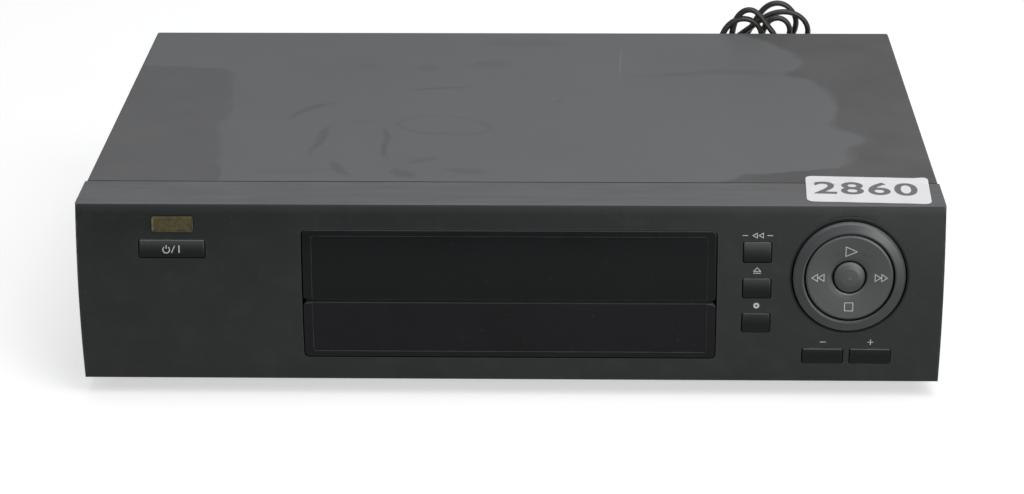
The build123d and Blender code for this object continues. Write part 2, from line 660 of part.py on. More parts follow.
def pause_button():
    """Domed round key at the centre, on a stem that slides in the knob base."""
    r = PAUSE_RADIUS
    dome = turned(
        [(0, -3.0), (r, -3.0), (r, 0.3), (r - 0.35, 0.9), (r - 1.1, 1.3), (r - 3.0, 1.65), (0, 1.8)]
    )
    stem_top, stem_foot = -2.5, -KNOB_DEPTH - 1.5
    stem = Pos(0, 0, (stem_top + stem_foot) / 2) * Cylinder(PAUSE_STEM, stem_top - stem_foot)
    return KNOB_PLANE * (dome + stem)


# ---------------------------------------------------------------- case
def side_screws():
    """(side, y, z) of the screws through the cover's sides."""
    places = (SEAM_Y + SIDE_SCREW_INSET[0], REAR_Y - SIDE_SCREW_INSET[1])
    return [(side, y, FOOT_HEIGHT + SIDE_SCREW_RISE) for side in (-1, 1) for y in places]


def top_cover():
    """Bent sheet metal cover: top, two sides with vent slots, flange over the rear panel."""
    t = COVER_SHEET
    y0 = SEAM_Y + SEAM_GAP
    foot = FOOT_HEIGHT + COVER_LIFT
    outer = block(-COVER_HALF, COVER_HALF, y0, REAR_Y, foot, HEIGHT)
    outer = fillet(outer.edges().filter_by(Axis.Y).group_by(Axis.Z)[-1], COVER_BEND)
    inner = block(t - COVER_HALF, COVER_HALF - t, y0 - 1, REAR_Y - t, foot - 1, HEIGHT - t)
    inner = fillet(inner.edges().filter_by(Axis.Y).group_by(Axis.Z)[-1], COVER_BEND - t)
    cover = outer - inner
    wide = COVER_HALF + 1
    cover -= block(-wide, wide, REAR_Y - t, REAR_Y + 1, foot - 1, HEIGHT - COVER_FLANGE)
    for i in range(VENT_COUNT):
        y = REAR_Y - VENT_FROM_REAR - i * VENT_PITCH
        slot = block(-wide, wide, y - VENT_WIDTH / 2, y + VENT_WIDTH / 2, VENT_Z, VENT_Z + VENT_LENGTH)
        cover -= slot
    for side, y, z in side_screws():
        cover -= rod_x(y, z, side * (COVER_HALF - 3), side * (COVER_HALF + 3), SCREW_RADIUS + RUN_GAP)
    for x in REAR_SCREW_X:
        cover -= rod_y(x, HEIGHT - REAR_SCREW_DROP, REAR_Y - 3, REAR_Y + 3, SCREW_RADIUS + RUN_GAP)
    return cover


def cover_screws():
    """Screws that hold the cover to the chassis rim and to the rear panel."""
    screws = []
    for side, y, z in side_screws():
        shank = rod_x(y, z, side * (COVER_HALF - 3.6), side * (COVER_HALF + 0.1), SCREW_RADIUS)
        head = rod_x(y, z, side * COVER_HALF, side * (COVER_HALF + HEAD_HEIGHT), SCREW_HEAD)
        screws.append(shank + head)
    for x in REAR_SCREW_X:
        z = HEIGHT - REAR_SCREW_DROP
        shank = rod_y(x, z, REAR_Y - 3.4, REAR_Y + 0.1, SCREW_RADIUS)
        screws.append(shank + rod_y(x, z, REAR_Y, REAR_Y + HEAD_HEIGHT, SCREW_HEAD))
    return group(screws)


def deck_posts():
    """(x, y) of the posts that the tape deck is screwed to."""
    side, front, rear = DECK_POST_INSET
    x = DECK_HALF - side
    return [(sx * x, y) for sx in (-1, 1) for y in (DECK_FRONT_Y + front, DECK_REAR_Y - rear)]


def main_board_posts():
    """(x, y) of the posts under the main board."""
    return [(x, y) for x in (10 - HALF, 78 - HALF) for y in (SEAM_Y + 18, PANEL_INSIDE - 8)]


def power_board_posts():
    """(x, y) of the posts under the power board."""
    return [(x, y) for x in (HALF - 78, HALF - 10) for y in (SEAM_Y + 38, PANEL_INSIDE - 12)]


def foot_places():
    """(x, y) of the four feet."""
    x = HALF - FOOT_INSET_X
    return [(side * x, y) for side in (-1, 1) for y in (SEAM_Y + FOOT_INSET_FRONT, REAR_Y - FOOT_INSET_REAR)]


def bottom_chassis():
    """Moulded bottom chassis: floor with vent slots, rim, tongue, posts and foot seats."""
    z0 = FOOT_HEIGHT
    half, wall = INNER_HALF, CHASSIS_WALL
    seam = SEAM_Y + SEAM_GAP
    rim_front = SEAM_Y + TONGUE_DEPTH + RUN_GAP
    y1 = PANEL_INSIDE - 0.2
    body = block(-half, half, rim_front, y1, z0, z0 + CHASSIS_RIM)
    body -= block(wall - half, half - wall, rim_front - 1, y1 + 1, z0 + wall, z0 + CHASSIS_RIM + 1)
    body += block(-half, half, y1 - wall, y1, z0, z0 + CHASSIS_REAR_RIM)
    # the floor runs on between the panel's tongue, and its own tongue lies on the panel's floor
    inner = half - TONGUE_WALL - RUN_GAP
    body += block(-inner, inner, seam, rim_front + 1, z0, z0 + wall)
    lip_z = z0 + PANEL_WALL + 0.1
    body += block(-inner, inner, SEAM_Y - LIP_DEPTH, seam + 2, lip_z, lip_z + LIP_WALL)
    body += block(-inner, inner, seam, seam + 2, z0, lip_z + LIP_WALL)
    # two fields of vent slots, under the main board and under the power supply
    vent_y = REAR_Y - 36
    for cx in (70 - HALF, HALF - 70):
        for i in range(8):
            x = cx + (i - 3.5) * 9
            body -= block(x - 1.5, x + 1.5, vent_y - 50, vent_y, z0 - 1, z0 + wall + 1)
    for x, y in deck_posts():
        body += post(x, y, z0 + 1, DECK_BOTTOM, 4.0) - post(x, y, z0 + 3, DECK_Z, SCREW_RADIUS + 0.02)
    for x, y in main_board_posts() + power_board_posts():
        body += post(x, y, z0 + 1, BOARD_Z, 3.0)
    for x, y in foot_places():
        body -= post(x, y, z0 - 1, z0 + wall + 1, FOOT_SPIGOT)
    for side, y, z in side_screws():
        body -= rod_x(y, z, side * (half - 4), side * (half + 1), SCREW_RADIUS + SHAFT_GAP)
    return body


def feet():
    """Round feet, each with a recess for its pad and a spigot up through the chassis."""
    r = FOOT_RADIUS
    recess = PAD_RADIUS + 0.1
    foot = turned(
        [(0, PAD_HEIGHT), (recess, PAD_HEIGHT), (recess, 0.8), (r - 2.2, 0.8), (r - 1.0, 2.0),
         (r, FOOT_HEIGHT), (FOOT_SPIGOT - SHAFT_GAP, FOOT_HEIGHT),
         (FOOT_SPIGOT - SHAFT_GAP, FOOT_HEIGHT + 3.0), (0, FOOT_HEIGHT + 3.0)]
    )
    return group([Pos(x, y, 0) * foot for x, y in foot_places()])


def foot_pads():
    """Rubber pads under the feet."""
    return group([post(x, y, 0, PAD_HEIGHT, PAD_RADIUS) for x, y in foot_places()])


# ---------------------------------------------------------------- rear panel and sockets
def rear_panel():
    """Flat rear panel, pierced for the sockets, the cord grip and vent slots."""
    y0, y1 = PANEL_INSIDE, PANEL_BACK
    panel = block(-INNER_HALF, INNER_HALF, y0, y1, FOOT_HEIGHT, HEIGHT - COVER_SHEET - RUN_GAP)
    w, h = SOCKET_HALF
    for x in SOCKET_X:
        panel -= block(x - w - 0.4, x + w + 0.4, y0 - 1, y1 + 1, SOCKET_Z - h - 0.4, SOCKET_Z + h + 0.4)
    for x in AERIAL_X:
        panel -= rod_y(x, SOCKET_Z, y0 - 1, y1 + 1, AERIAL_COLLAR + RUN_GAP)
    for z in AUDIO_Z:
        panel -= rod_y(AUDIO_X, z, y0 - 1, y1 + 1, AUDIO_COLLAR + RUN_GAP)
    neck = CORD_WIDTH / 2 + 2.4
    panel -= block(CORD_X - neck, CORD_X + neck, y0 - 1, y1 + 1, CORD_Z - neck, CORD_Z + neck)
    for i in range(12):
        x = CORD_X - 114 + i * 7
        panel -= block(x - 1.2, x + 1.2, y0 - 1, y1 + 1, SOCKET_Z + 6, SOCKET_Z + 24)
    for x in REAR_SCREW_X:
        panel -= rod_y(x, HEIGHT - REAR_SCREW_DROP, y0 - 1, y1 + 1, SCREW_RADIUS + SHAFT_GAP)
    return panel


def av_sockets():
    """Two 21-way audio-video sockets: slanted shells with slotted contact blocks."""
    w, h = SOCKET_HALF
    front = REAR_Y + 1.6
    back = front - SOCKET_DEPTH
    sockets = []
    for x in SOCKET_X:
        outline = Polyline((-w, h), (w, h), (w, -2.0), (w - 5, -h), (-w, -h), close=True)
        shell_face = make_face(Pos(x, SOCKET_Z) * outline)
        shell = extrude(Plane.XZ.offset(-back) * shell_face, -SOCKET_DEPTH)
        bore = extrude(Plane.XZ.offset(-back - 2) * offset(shell_face, -1.2), -SOCKET_DEPTH)
        core = block(x - 19.5, x + 17.5, back + 1, front - 1.2, SOCKET_Z - 3.4, SOCKET_Z + 3.4)
        core -= block(x - 17.5, x + 15.5, back + 4, front, SOCKET_Z - 0.5, SOCKET_Z + 0.5)
        for i in range(10):
            cx = x - 16.5 + i * 3.6
            for z in (SOCKET_Z + 2.0, SOCKET_Z - 2.0):
                core -= block(cx - 0.5, cx + 0.5, back + 4, front, z - 0.5, z + 0.5)
        leg = block(x - 20, x + 20, back, back + 2, BOARD_TOP, SOCKET_Z - h + 0.5)
        sockets.append(shell - bore + core + leg)
    return group(sockets)


def tuner_modulator():
    """Screened tuner and modulator can with its two aerial connectors through the panel."""
    y1 = PANEL_INSIDE - RUN_GAP
    x0, x1 = AERIAL_X[0] - 14, AERIAL_X[-1] + 14
    top = SOCKET_Z + 14
    can = block(x0, x1, y1 - 62, y1, BOARD_TOP, top)
    can = fillet(can.edges().filter_by(Axis.Z), 1.0)
    lid = block(x0 + 3, x1 - 3, y1 - 59, y1 - 3, top - 1, top + 0.6)
    can += fillet(lid.edges().filter_by(Axis.Z), 2.0)
    end = REAR_Y + AERIAL_REACH
    for x, pin, bore in zip(AERIAL_X, (1.6, 1.15), (0.8, 0)):
        can += rod_y(x, SOCKET_Z, y1 - 1, REAR_Y + COLLAR_PROUD, AERIAL_COLLAR)
        can += rod_y(x, SOCKET_Z, REAR_Y, end, AERIAL_RADIUS)
        can -= rod_y(x, SOCKET_Z, end - 9.0, end + 1, AERIAL_RADIUS - 0.65)
        can += rod_y(x, SOCKET_Z, end - 9.5, end - 1.5, pin)
        if bore:
            can -= rod_y(x, SOCKET_Z, end - 7.0, end, bore)
    return can


def audio_jacks():
    """Pair of phono jacks, one over the other, on one moulded block."""
    y1 = PANEL_INSIDE - RUN_GAP
    body = block(AUDIO_X - 7, AUDIO_X + 7, y1 - 12, y1, BOARD_TOP, max(AUDIO_Z) + 8)
    for z in AUDIO_Z:
        body += rod_y(AUDIO_X, z, y1 - 1, REAR_Y + COLLAR_PROUD, AUDIO_COLLAR)
        body += rod_y(AUDIO_X, z, REAR_Y, REAR_Y + AUDIO_REACH, AUDIO_RADIUS)
        body -= rod_y(AUDIO_X, z, REAR_Y - 1.0, REAR_Y + AUDIO_REACH + 1.0, 1.7)
    return body


def cord_grip():
    """Moulded strain relief, clamped in its square hole, with a tapered ribbed sleeve."""
    x, z = CORD_X, CORD_Z
    neck = CORD_WIDTH / 2 + 2.2
    collar = neck + 2.0
    face = PANEL_BACK + 2.6
    grip = block(x - neck, x + neck, PANEL_INSIDE - 6, face, z - neck, z + neck)
    grip += block(x - collar, x + collar, PANEL_BACK + 0.05, face, z - collar, z + collar)
    wedge = PANEL_INSIDE - 0.2
    grip += block(x - collar, x + collar, wedge - 3.8, wedge, z - neck + 0.5, z + neck - 0.5)
    sleeve = Cone(neck, CORD_WIDTH / 2 + 0.7, SLEEVE_LENGTH)
    grip += Pos(x, face + SLEEVE_LENGTH / 2, z) * Rot(-90, 0, 0) * sleeve
    for i in range(5):
        y = face + 3.0 + i * 3.2
        for side in (-1, 1):
            grip -= block(x + side * 3.2 - 3, x + side * 3.2 + 3, y, y + 1.2, z + side * 4 - 1.3, z + side * 4 + 3)
    return grip


# ---------------------------------------------------------------- boards and power supply
def main_board():
    """Signal board along the left side and under the sockets."""
    y1 = PANEL_INSIDE - 0.5
    inner = -DECK_HALF - 2
    board = block(6 - HALF, inner, SEAM_Y + 8, y1, BOARD_Z, BOARD_TOP)
    board += block(inner - 1, AUDIO_X + 20, DECK_REAR_Y + 6, y1, BOARD_Z, BOARD_TOP)
    return board


def main_board_parts():
    """The larger parts on the signal board: screened block, chips and electrolytics."""
    z = BOARD_TOP
    left, front = -HALF, SEAM_Y + 8
    parts = [
        block(left + 12, left + 50, front + 19, front + 69, z, z + 16),
        block(left + 54, left + 76, front + 29, front + 51, z, z + 3.2),
        block(left + 14, left + 42, front + 89, front + 115, z, z + 3.2),
        block(left + 54, left + 78, front + 79, front + 119, z, z + 3.2),
    ]
    cans = ((60, 15, 4, 12), (70, 15, 4, 12), (24, 81, 5, 16), (70, 133, 5, 14), (62, 133, 2.5, 9))
    for inset, back, r, h in cans:
        parts.append(post(left + inset, front + back, z, z + h, r))
    return group(parts)


def power_board():
    """Single-sided board of the switched-mode power supply."""
    return block(DECK_HALF + 4, HALF - 6, SEAM_Y + 30, PANEL_INSIDE - 2.5, BOARD_Z, BOARD_TOP)


def transformer():
    """Ferrite transformer: an E-core pair round a wound bobbin."""
    z = BOARD_TOP
    x, y = HALF - 50, REAR_Y - 88
    core = block(x - 17, x + 17, y - 6.5, y + 6.5, z + 5, z + 34)
    for cx in (x - 8.5, x + 8.5):
        core -= block(cx - 3, cx + 3, y - 8, y + 8, z + 10, z + 29)
    winding = block(x - 10.8, x + 10.8, y - 12, y + 12, z + 10.6, z + 28.4)
    winding = fillet(winding.edges().filter_by(Axis.Z), 5)
    bobbin = block(x - 14, x + 14, y - 12, y + 12, z, z + 5)
    return core + winding + bobbin


def heat_sink():
    """Black finned extrusion that cools the switching transistor."""
    z, top = BOARD_TOP, HEIGHT - SINK_BELOW_TOP
    x, y0 = HALF - 21, REAR_Y - 106
    sink = block(x - 3, x, y0, y0 + 50, z, top)
    for i in range(6):
        y = y0 + 4 + i * 8.4
        sink += block(x - 11, x - 2, y - 0.8, y + 0.8, z + 4, top)
    return sink


def power_parts():
    """Reservoir capacitor, mains filter, fuse and smoothing capacitors."""
    z = BOARD_TOP
    right, rear = HALF, REAR_Y
    parts = [
        post(right - 62, rear - 42, z, z + 34, 11),
        block(right - 38, right - 20, rear - 42, rear - 20, z, z + 24),
        block(right - 74, right - 50, rear - 26, rear - 20, z, z + 7),
    ]
    for inset, ahead, r, h in ((66, 134, 6.5, 22), (50, 134, 6.5, 22), (32, 146, 5, 18)):
        parts.append(post(right - inset, rear - ahead, z, z + h, r))
    return group(parts)


# ---------------------------------------------------------------- tape deck
def deck_plate():
    """Pressed steel deck: turned-down edges, holes for the shafts, curved guide slots."""
    z0, z1 = DECK_BOTTOM, DECK_Z
    plate = block(-DECK_HALF, DECK_HALF, DECK_FRONT_Y, DECK_REAR_Y, z0, z1)
    plate = fillet(plate.edges().filter_by(Axis.Z), 6)
    half = DECK_HALF - 20
    for y0 in (DECK_FRONT_Y, DECK_REAR_Y - DECK_SHEET):
        plate += block(-half, half, y0, y0 + DECK_SHEET, z0 - DECK_FLANGE, z1)
    plate -= post(DRUM_X, DRUM_Y, z0 - 1, z1 + 1, 15.0)
    plate -= post(CAPSTAN_X, CAPSTAN_Y, z0 - 1, z1 + 1, 6.3)
    for x, y in shaft_places():
        plate -= post(x, y, z0 - 1, z1 + 1, SHAFT_RADIUS + SHAFT_GAP)
    for side in (-1, 1):
        plate -= guide_slot(side, z0 - 1, z1 + 1)
    for x, y in deck_posts():
        plate -= post(x, y, z0 - 1, z1 + 1, SCREW_RADIUS + RUN_GAP)
    return plate


def deck_screws():
    """Screws through the deck's corners into the chassis posts."""
    screws = []
    for x, y in deck_posts():
        head = post(x, y, DECK_Z, DECK_Z + HEAD_HEIGHT, SCREW_HEAD)
        screws.append(head + post(x, y, DECK_Z - 8, DECK_Z + 0.1, SCREW_RADIUS))
    return group(screws)


def shaft_places():
    """(x, y) of the fixed shafts: supply reel, take-up reel, pinch arm, cam gear."""
    reels = [(side * REEL_SPACING / 2, REEL_Y) for side in (-1, 1)]
    return [*reels, PINCH_PIVOT, (CAM_X, CAM_Y)]


def deck_shafts():
    """Fixed steel shafts, each with a washer, that the reels, the pinch arm and the cam turn on."""
    shafts = []
    reel_top = REEL_FLOOR + REEL_HEIGHT + 0.6
    for (x, y), top in zip(shaft_places(), (reel_top, reel_top, PINCH_LIFT + 10.5, 9.5)):
        washer = post(x, y, DECK_Z, DECK_Z + 0.8, SHAFT_RADIUS + 1.6)
        shafts.append(post(x, y, DECK_BOTTOM - 2, DECK_Z + top, SHAFT_RADIUS) + washer)
    return group(shafts)


def round_drum(side, angle, radius):
    """Point at an angle from the line that runs from the drum to the cassette."""
    a = radians(angle)
    return (DRUM_X + side * radius * sin(a), DRUM_Y - radius * cos(a))


def guide_slot(side, z0, z1):
    """The curved slot that one tape guide travels in, centred on the drum."""
    a0, a1 = GUIDE_START, GUIDE_START + GUIDE_SWING
    middle = (a0 + a1) / 2
    inner, outer = GUIDE_RADIUS - GUIDE_SLOT / 2, GUIDE_RADIUS + GUIDE_SLOT / 2
    corners = [round_drum(side, a, r) for a, r in ((a0, inner), (a1, inner), (a1, outer), (a0, outer))]
    edge = [
        ThreePointArc(corners[0], round_drum(side, middle, inner), corners[1]),
        Line(corners[1], corners[2]),
        ThreePointArc(corners[2], round_drum(side, middle, outer), corners[3]),
        Line(corners[3], corners[0]),
    ]
    slot = extrude(Plane.XY.offset(z0) * make_face(Wire(edge)), z1 - z0)
    for angle in (a0, a1):
        slot += post(*round_drum(side, angle, GUIDE_RADIUS), z0, z1, GUIDE_SLOT / 2)
    return slot


def tape_guide(side):
    """Sliding guide: a shoe in the curved slot with a flanged roller on its post."""
    x, y = round_drum(side, GUIDE_START, GUIDE_RADIUS)
    z = DECK_Z
    guide = post(x, y, z + RUN_GAP, z + 3.2, 5.2)
    guide += post(x, y, DECK_BOTTOM - 0.5, z + 1, GUIDE_SLOT / 2 - RUN_GAP)
    guide += post(x, y, DECK_BOTTOM - RUN_GAP - 1.6, DECK_BOTTOM - RUN_GAP, 4.8)
    roller = turned(
        [(0, 0), (3.4, 0), (3.4, 1.0), (2.6, 1.6), (2.6, 15.4), (3.4, 16.0), (3.4, 17.0), (1.4, 17.0),
         (1.4, 20.0), (0, 20.0)]
    )
    return guide + Pos(x, y, z + 3.0) * roller


def drum_plane():
    """The tilted frame that both halves of the head drum share."""
    tilt = radians(DRUM_TILT)
    return Plane(origin=(DRUM_X, DRUM_Y, DRUM_Z), x_dir=(1, 0, 0), z_dir=(0, sin(tilt), cos(tilt)))


def drum_lower():
    """Fixed lower drum on its stand, with the tape's helical ledge cut in it."""
    r, h = DRUM_RADIUS, DRUM_LOWER
    drum = Pos(0, 0, h / 2) * Cylinder(r, h)
    drum -= Pos(0, 0, h - 5) * Cylinder(r - 5, 12)
    drum += Pos(0, 0, 1) * Cylinder(9, 20)
    ledge = Pos(0, 0, 3) * (Cylinder(r + 1, 8) - Cylinder(r - 0.8, 9))
    drum -= ledge - Pos(0, 0, -4) * Rot(4, 0, 0) * Box(3 * r, 3 * r, 8)
    below = Pos(0, 0, -r) * Box(4 * r, 4 * r, 2 * r)
    stand = post(DRUM_X, DRUM_Y, DECK_Z, DRUM_Z + 6, 20.0) & (drum_plane() * below)
    bore = Cylinder(DRUM_SHAFT + SHAFT_GAP, 6 * h)
    return drum_plane() * drum + stand - drum_plane() * bore


def drum_upper():
    """Spinning upper drum with its shaft and the windows of its two video heads."""
    r, z0 = DRUM_RADIUS, DRUM_LOWER + 0.4
    top = z0 + DRUM_UPPER
    drum = Pos(0, 0, (z0 + top) / 2) * Cylinder(r, DRUM_UPPER)
    drum = fillet(drum.edges().group_by(Axis.Z)[-1], 1.0)
    drum -= Pos(0, 0, top) * (Cylinder(24, 6) - Cylinder(12, 8))
    drum += Pos(0, 0, top) * Cylinder(8, 5)
    drum += Pos(0, 0, (z0 + 2 - 8) / 2) * Cylinder(DRUM_SHAFT, z0 + 2 + 8)
    for i in range(6):
        drum -= Rot(0, 0, 60 * i) * Pos(18, 0, top - 4) * Cylinder(2.2, 10)
    for i in range(2):
        drum -= Rot(0, 0, 180 * i) * Pos(r, 0, z0 + 1.0) * Box(3, 5, 2.2)
    return drum_plane() * drum


def capstan_housing():
    """Capstan bearing bolted to the deck."""
    x, y = CAPSTAN_X, CAPSTAN_Y
    flange = post(x, y, DECK_Z, DECK_Z + 2, 11)
    tube = post(x, y, DECK_BOTTOM - 2.2, DECK_Z + CAPSTAN_TUBE, 6.0)
    return flange + tube - post(x, y, DECK_Z - 8, DECK_Z + CAPSTAN_TUBE + 4, SHAFT_RADIUS + SHAFT_GAP)


def capstan():
    """Capstan shaft with the direct-drive motor's flywheel under the deck."""
    x, y = CAPSTAN_X, CAPSTAN_Y
    top = DECK_BOTTOM - 2.5
    wheel = post(x, y, top - 6.5, top, FLYWHEEL_RADIUS)
    wheel -= post(x, y, top - 2.0, top + 1, FLYWHEEL_RADIUS - 6) - post(x, y, top - 3, top + 1, 8)
    for i in range(3):
        spoke = Pos(x, y, 0) * Rot(0, 0, 120 * i) * Pos(14, 0, top - 4)
        wheel -= spoke * Cylinder(3.4, 10)
    return wheel + post(x, y, top - 4, DECK_Z + 34, SHAFT_RADIUS)


def reel_table(side):
    """Reel table: a toothed disc and a hub with three splines for the cassette's reel."""
    bore = SHAFT_RADIUS + SHAFT_GAP
    top = REEL_HEIGHT
    table = turned(
        [(bore, 0), (REEL_RADIUS, 0), (REEL_RADIUS, 3.2), (12.0, 3.2), (12.0, 4.6), (REEL_HUB, 4.6),
         (REEL_HUB, top - 3.0), (6.4, top), (bore, top)]
    )
    for i in range(3):
        table += Rot(0, 0, 120 * i) * block(REEL_HUB - 1.0, REEL_HUB + 2.2, -1.0, 1.0, 4.5, top - 3.5)
    table = toothed(table, REEL_RADIUS, REEL_TEETH, 3.2)
    return Pos(side * REEL_SPACING / 2, REEL_Y, DECK_Z + REEL_FLOOR) * table


def toothed(gear, radius, count, height):
    """Cuts the spaces between teeth into the rim of a turned gear."""
    space = pi * radius / count
    cutter = make_face(
        Polyline((radius - 1.7, -space * 0.3), (radius + 1.2, -space * 0.68), (radius + 1.2, space * 0.68),
                 (radius - 1.7, space * 0.3), close=True)
    )
    cutter = extrude(Plane.XY.offset(-0.5) * cutter, height + 1.0)
    return gear - Compound(children=[Rot(0, 0, 360 / count * i) * cutter for i in range(count)])


def pinch_frame(height):
    """The pinch arm's pivot at a height over the deck, turned to the arm's rest position."""
    return Pos(PINCH_PIVOT[0], PINCH_PIVOT[1], DECK_Z + height) * Rot(0, 0, -PINCH_REST)


def pinch_arm():
    """Lever that swings the pinch roller to the capstan."""
    z = PINCH_LIFT
    arm = fillet(block(-PINCH_ARM - 4, 4, -4, 4, z, z + 2.4).edges().filter_by(Axis.Z), 3.9)
    arm += post(0, 0, 0, z + 8.0, 4.5) + post(-PINCH_ARM, 0, z, z + 20.0, 1.5)
    arm -= post(0, 0, -1, z + 10.0, SHAFT_RADIUS + SHAFT_GAP)
    return pinch_frame(1.0) * arm


def pinch_roller():
    """Rubber roller on the arm's post."""
    bore = 1.5 + SHAFT_GAP
    roller = turned(
        [(bore, 0), (3.0, 0), (3.0, 0.6), (PINCH_RADIUS, 0.6), (PINCH_RADIUS, 13.4), (3.0, 13.4),
         (3.0, 14.0), (bore, 14.0)]
    )
    return pinch_frame(1.0 + PINCH_LIFT + 2.6) * Pos(-PINCH_ARM, 0, 0) * roller


def cam_gear():
    """Mode cam: worm wheel with an eccentric cam groove in its top face."""
    tip = CAM_RADIUS + 0.9
    bore = SHAFT_RADIUS + SHAFT_GAP
    gear = turned([(bore, 0), (tip, 0), (tip, 5.0), (7.0, 5.0), (7.0, 7.0), (bore, 7.0)])
    gear = toothed(gear, CAM_RADIUS, CAM_TEETH, 5.0)
    groove = Pos(2.0, 0, 4.5) * (Cylinder(15.5, 3) - Cylinder(12.0, 3))
    return Pos(CAM_X, CAM_Y, DECK_Z + 1.0) * (gear - groove)


def loading_motor():
    """Small can motor on a tray that also holds the far bearing of its worm shaft."""
    x0 = CAM_X - 48
    can = rod_x(WORM_Y, WORM_Z, x0, x0 + 22, MOTOR_RADIUS)
    can += rod_x(WORM_Y, WORM_Z, x0 + 21, x0 + 24, 3.0)
    can -= rod_x(WORM_Y, WORM_Z, x0 + 17, x0 + 26, 1.0 + SHAFT_GAP)
    end = CAM_X + 15.5
    tray = block(x0, end, WORM_Y - 3.5, WORM_Y + 5, DECK_Z, DECK_Z + 1.8)
    tray += block(x0 + 2, x0 + 20, WORM_Y - 5, WORM_Y + 5, DECK_Z, WORM_Z - 5)
    tray += block(end - 3, end, WORM_Y - 3.5, WORM_Y + 4, DECK_Z, WORM_Z + 4)
    return can + tray - rod_x(WORM_Y, WORM_Z, end - 4, end + 1, 1.0 + SHAFT_GAP)


def loading_worm():
    """Worm on the motor's shaft, with its thread cut to the cam gear's pitch."""
    shaft = rod_x(WORM_Y, WORM_Z, CAM_X - 30, CAM_X + 15, 1.0)
    body = rod_x(WORM_Y, WORM_Z, CAM_X - 12, CAM_X + 12, WORM_RADIUS - 1.0)
    pitch = 2 * pi * CAM_RADIUS / CAM_TEETH
    for i in range(7):
        x = CAM_X + (i - 3) * pitch
        thread = Cone(WORM_RADIUS, WORM_RADIUS - 1.1, 0.9)
        body += Pos(x, WORM_Y, WORM_Z) * Rot(0, 90, 0) * thread
    return shaft + body


def tape_heads():
    """Erase head on the supply side, audio and control head by the capstan, on their stands."""
    z = DECK_Z
    x, y = DRUM_X - 60, DRUM_Y - 28
    erase = block(x - 5, x + 5, y - 4, y + 4, z, z + 22)
    erase += post(x, y - 2, z + 20, z + 24, 2)
    x, y = DRUM_X + 65, DRUM_Y - 3
    control = block(x - 4, x + 5, y - 5, y + 5, z, z + 24)
    control += block(x - 4, x + 5, y - 7, y + 5, z, z + 3)
    return group([erase, control])


# ---------------------------------------------------------------- cassette housing
def cassette_holder():
    """Sheet metal tray that carries the cassette, with guide pins on its sides."""
    t = HOLDER_SHEET
    z0 = SLOT_FLOOR_Z - t
    y0, y1 = HOLDER_Y, HOLDER_REAR_Y
    wall_y = DOOR_HINGE_Y + DOOR_HEIGHT + 1.5
    top = z0 + HOLDER_HEIGHT
    half = HOLDER_HALF + t
    tray = block(-half, half, wall_y, y1, z0, SLOT_FLOOR_Z)
    tray += block(8 - half, half - 8, y0, wall_y + 1, z0, SLOT_FLOOR_Z)
    for side in (-1, 1):
        tray += side_block(side, HOLDER_HALF, half, wall_y, y1, z0, top)
        tray += side_block(side, half - 14, half, wall_y + 4, y1, top - t, top)
        tray += side_block(side, 50, 70, y1 - t, y1, z0, SLOT_FLOOR_Z + 9)
        for y in GUIDE_PIN_Y:
            pin_end = BRACKET_X + BRACKET_SHEET + 1.5
            tray += rod_x(y, GUIDE_PIN_Z, side * (half - 0.5), side * pin_end, GUIDE_PIN)
    # notches for the reel hubs and the lamp post when the tray is in and down
    hub_y = REEL_Y - HOLDER_TRAVEL
    for side in (-1, 1):
        tray -= post(side * REEL_SPACING / 2, hub_y, z0 - 1, SLOT_FLOOR_Z + 1, REEL_HUB + 4.4)
    tray -= block(-14, 14, y0 - 1, y0 + 12, z0 - 1, SLOT_FLOOR_Z + 1)
    return tray


def housing_bracket(side):
    """Side plate of the cassette housing, with the stepped slots that steer the holder."""
    x0, x1 = BRACKET_X, BRACKET_X + BRACKET_SHEET
    front, rear = min(GUIDE_PIN_Y), max(GUIDE_PIN_Y) + HOLDER_TRAVEL
    y0, y1 = front - 8, rear + 12
    plate = side_block(side, x0, x1, y0, y1, DECK_Z, BRACKET_TOP)
    plate = fillet(plate.edges().filter_by(Axis.X).group_by(Axis.Z)[-1], 5)
    gap = GUIDE_PIN + RUN_GAP
    low = GUIDE_PIN_Z - HOLDER_DROP
    ends = [(front, GUIDE_PIN_Z)]
    plate -= side_block(side, x0 - 1, x1 + 1, front, rear, GUIDE_PIN_Z - gap, GUIDE_PIN_Z + gap)
    for y in GUIDE_PIN_Y:
        end = y + HOLDER_TRAVEL
        plate -= side_block(side, x0 - 1, x1 + 1, end - gap, end + gap, low, GUIDE_PIN_Z)
        ends += [(end, GUIDE_PIN_Z), (end, low)]
    for y, z in ends:
        plate -= rod_x(y, z, side * (x0 - 1), side * (x1 + 1), gap)
    foot = side_block(side, x0, x0 + BRACKET_FOOT, y0 + 4, y1 - 4, DECK_Z, DECK_Z + BRACKET_SHEET)
    for x, y in deck_posts():
        foot -= post(x, y, DECK_Z - 1, DECK_Z + 3, SCREW_HEAD + 0.6)
    return plate + foot


def housing_bridge():
    """Cross plate that ties the two side brackets together over the holder."""
    t = BRACKET_SHEET
    y0 = min(GUIDE_PIN_Y) - 4
    y1 = y0 + 34
    z0 = BRACKET_TOP - 5.0
    half = BRACKET_X
    plate = block(-half, half, y0, y1, z0, z0 + t)
    plate += block(-half, half, y1 - t, y1, z0, z0 + 5)
    for side in (-1, 1):
        plate += side_block(side, half - t, half, y0, y1, z0, z0 + 5)
    for x in (-60, 0, 60):
        plate -= block(x - 16, x + 16, y0 + 8, y1 - 10, z0 - 1, z0 + 3)
    return plate


# ---------------------------------------------------------------- mains cord
def behind_hank(x, z, out):
    """A point that far straight out from the hank's rear face, over its height z."""
    lean = HANK_LEAN
    rise = z - HANK_LIFT - HANK_THICK / 2 * sin(lean)
    y = HANK_Y + HANK_THICK / 2 * cos(lean) - rise * tan(lean)
    return (x, y + out * cos(lean), z + out * sin(lean))


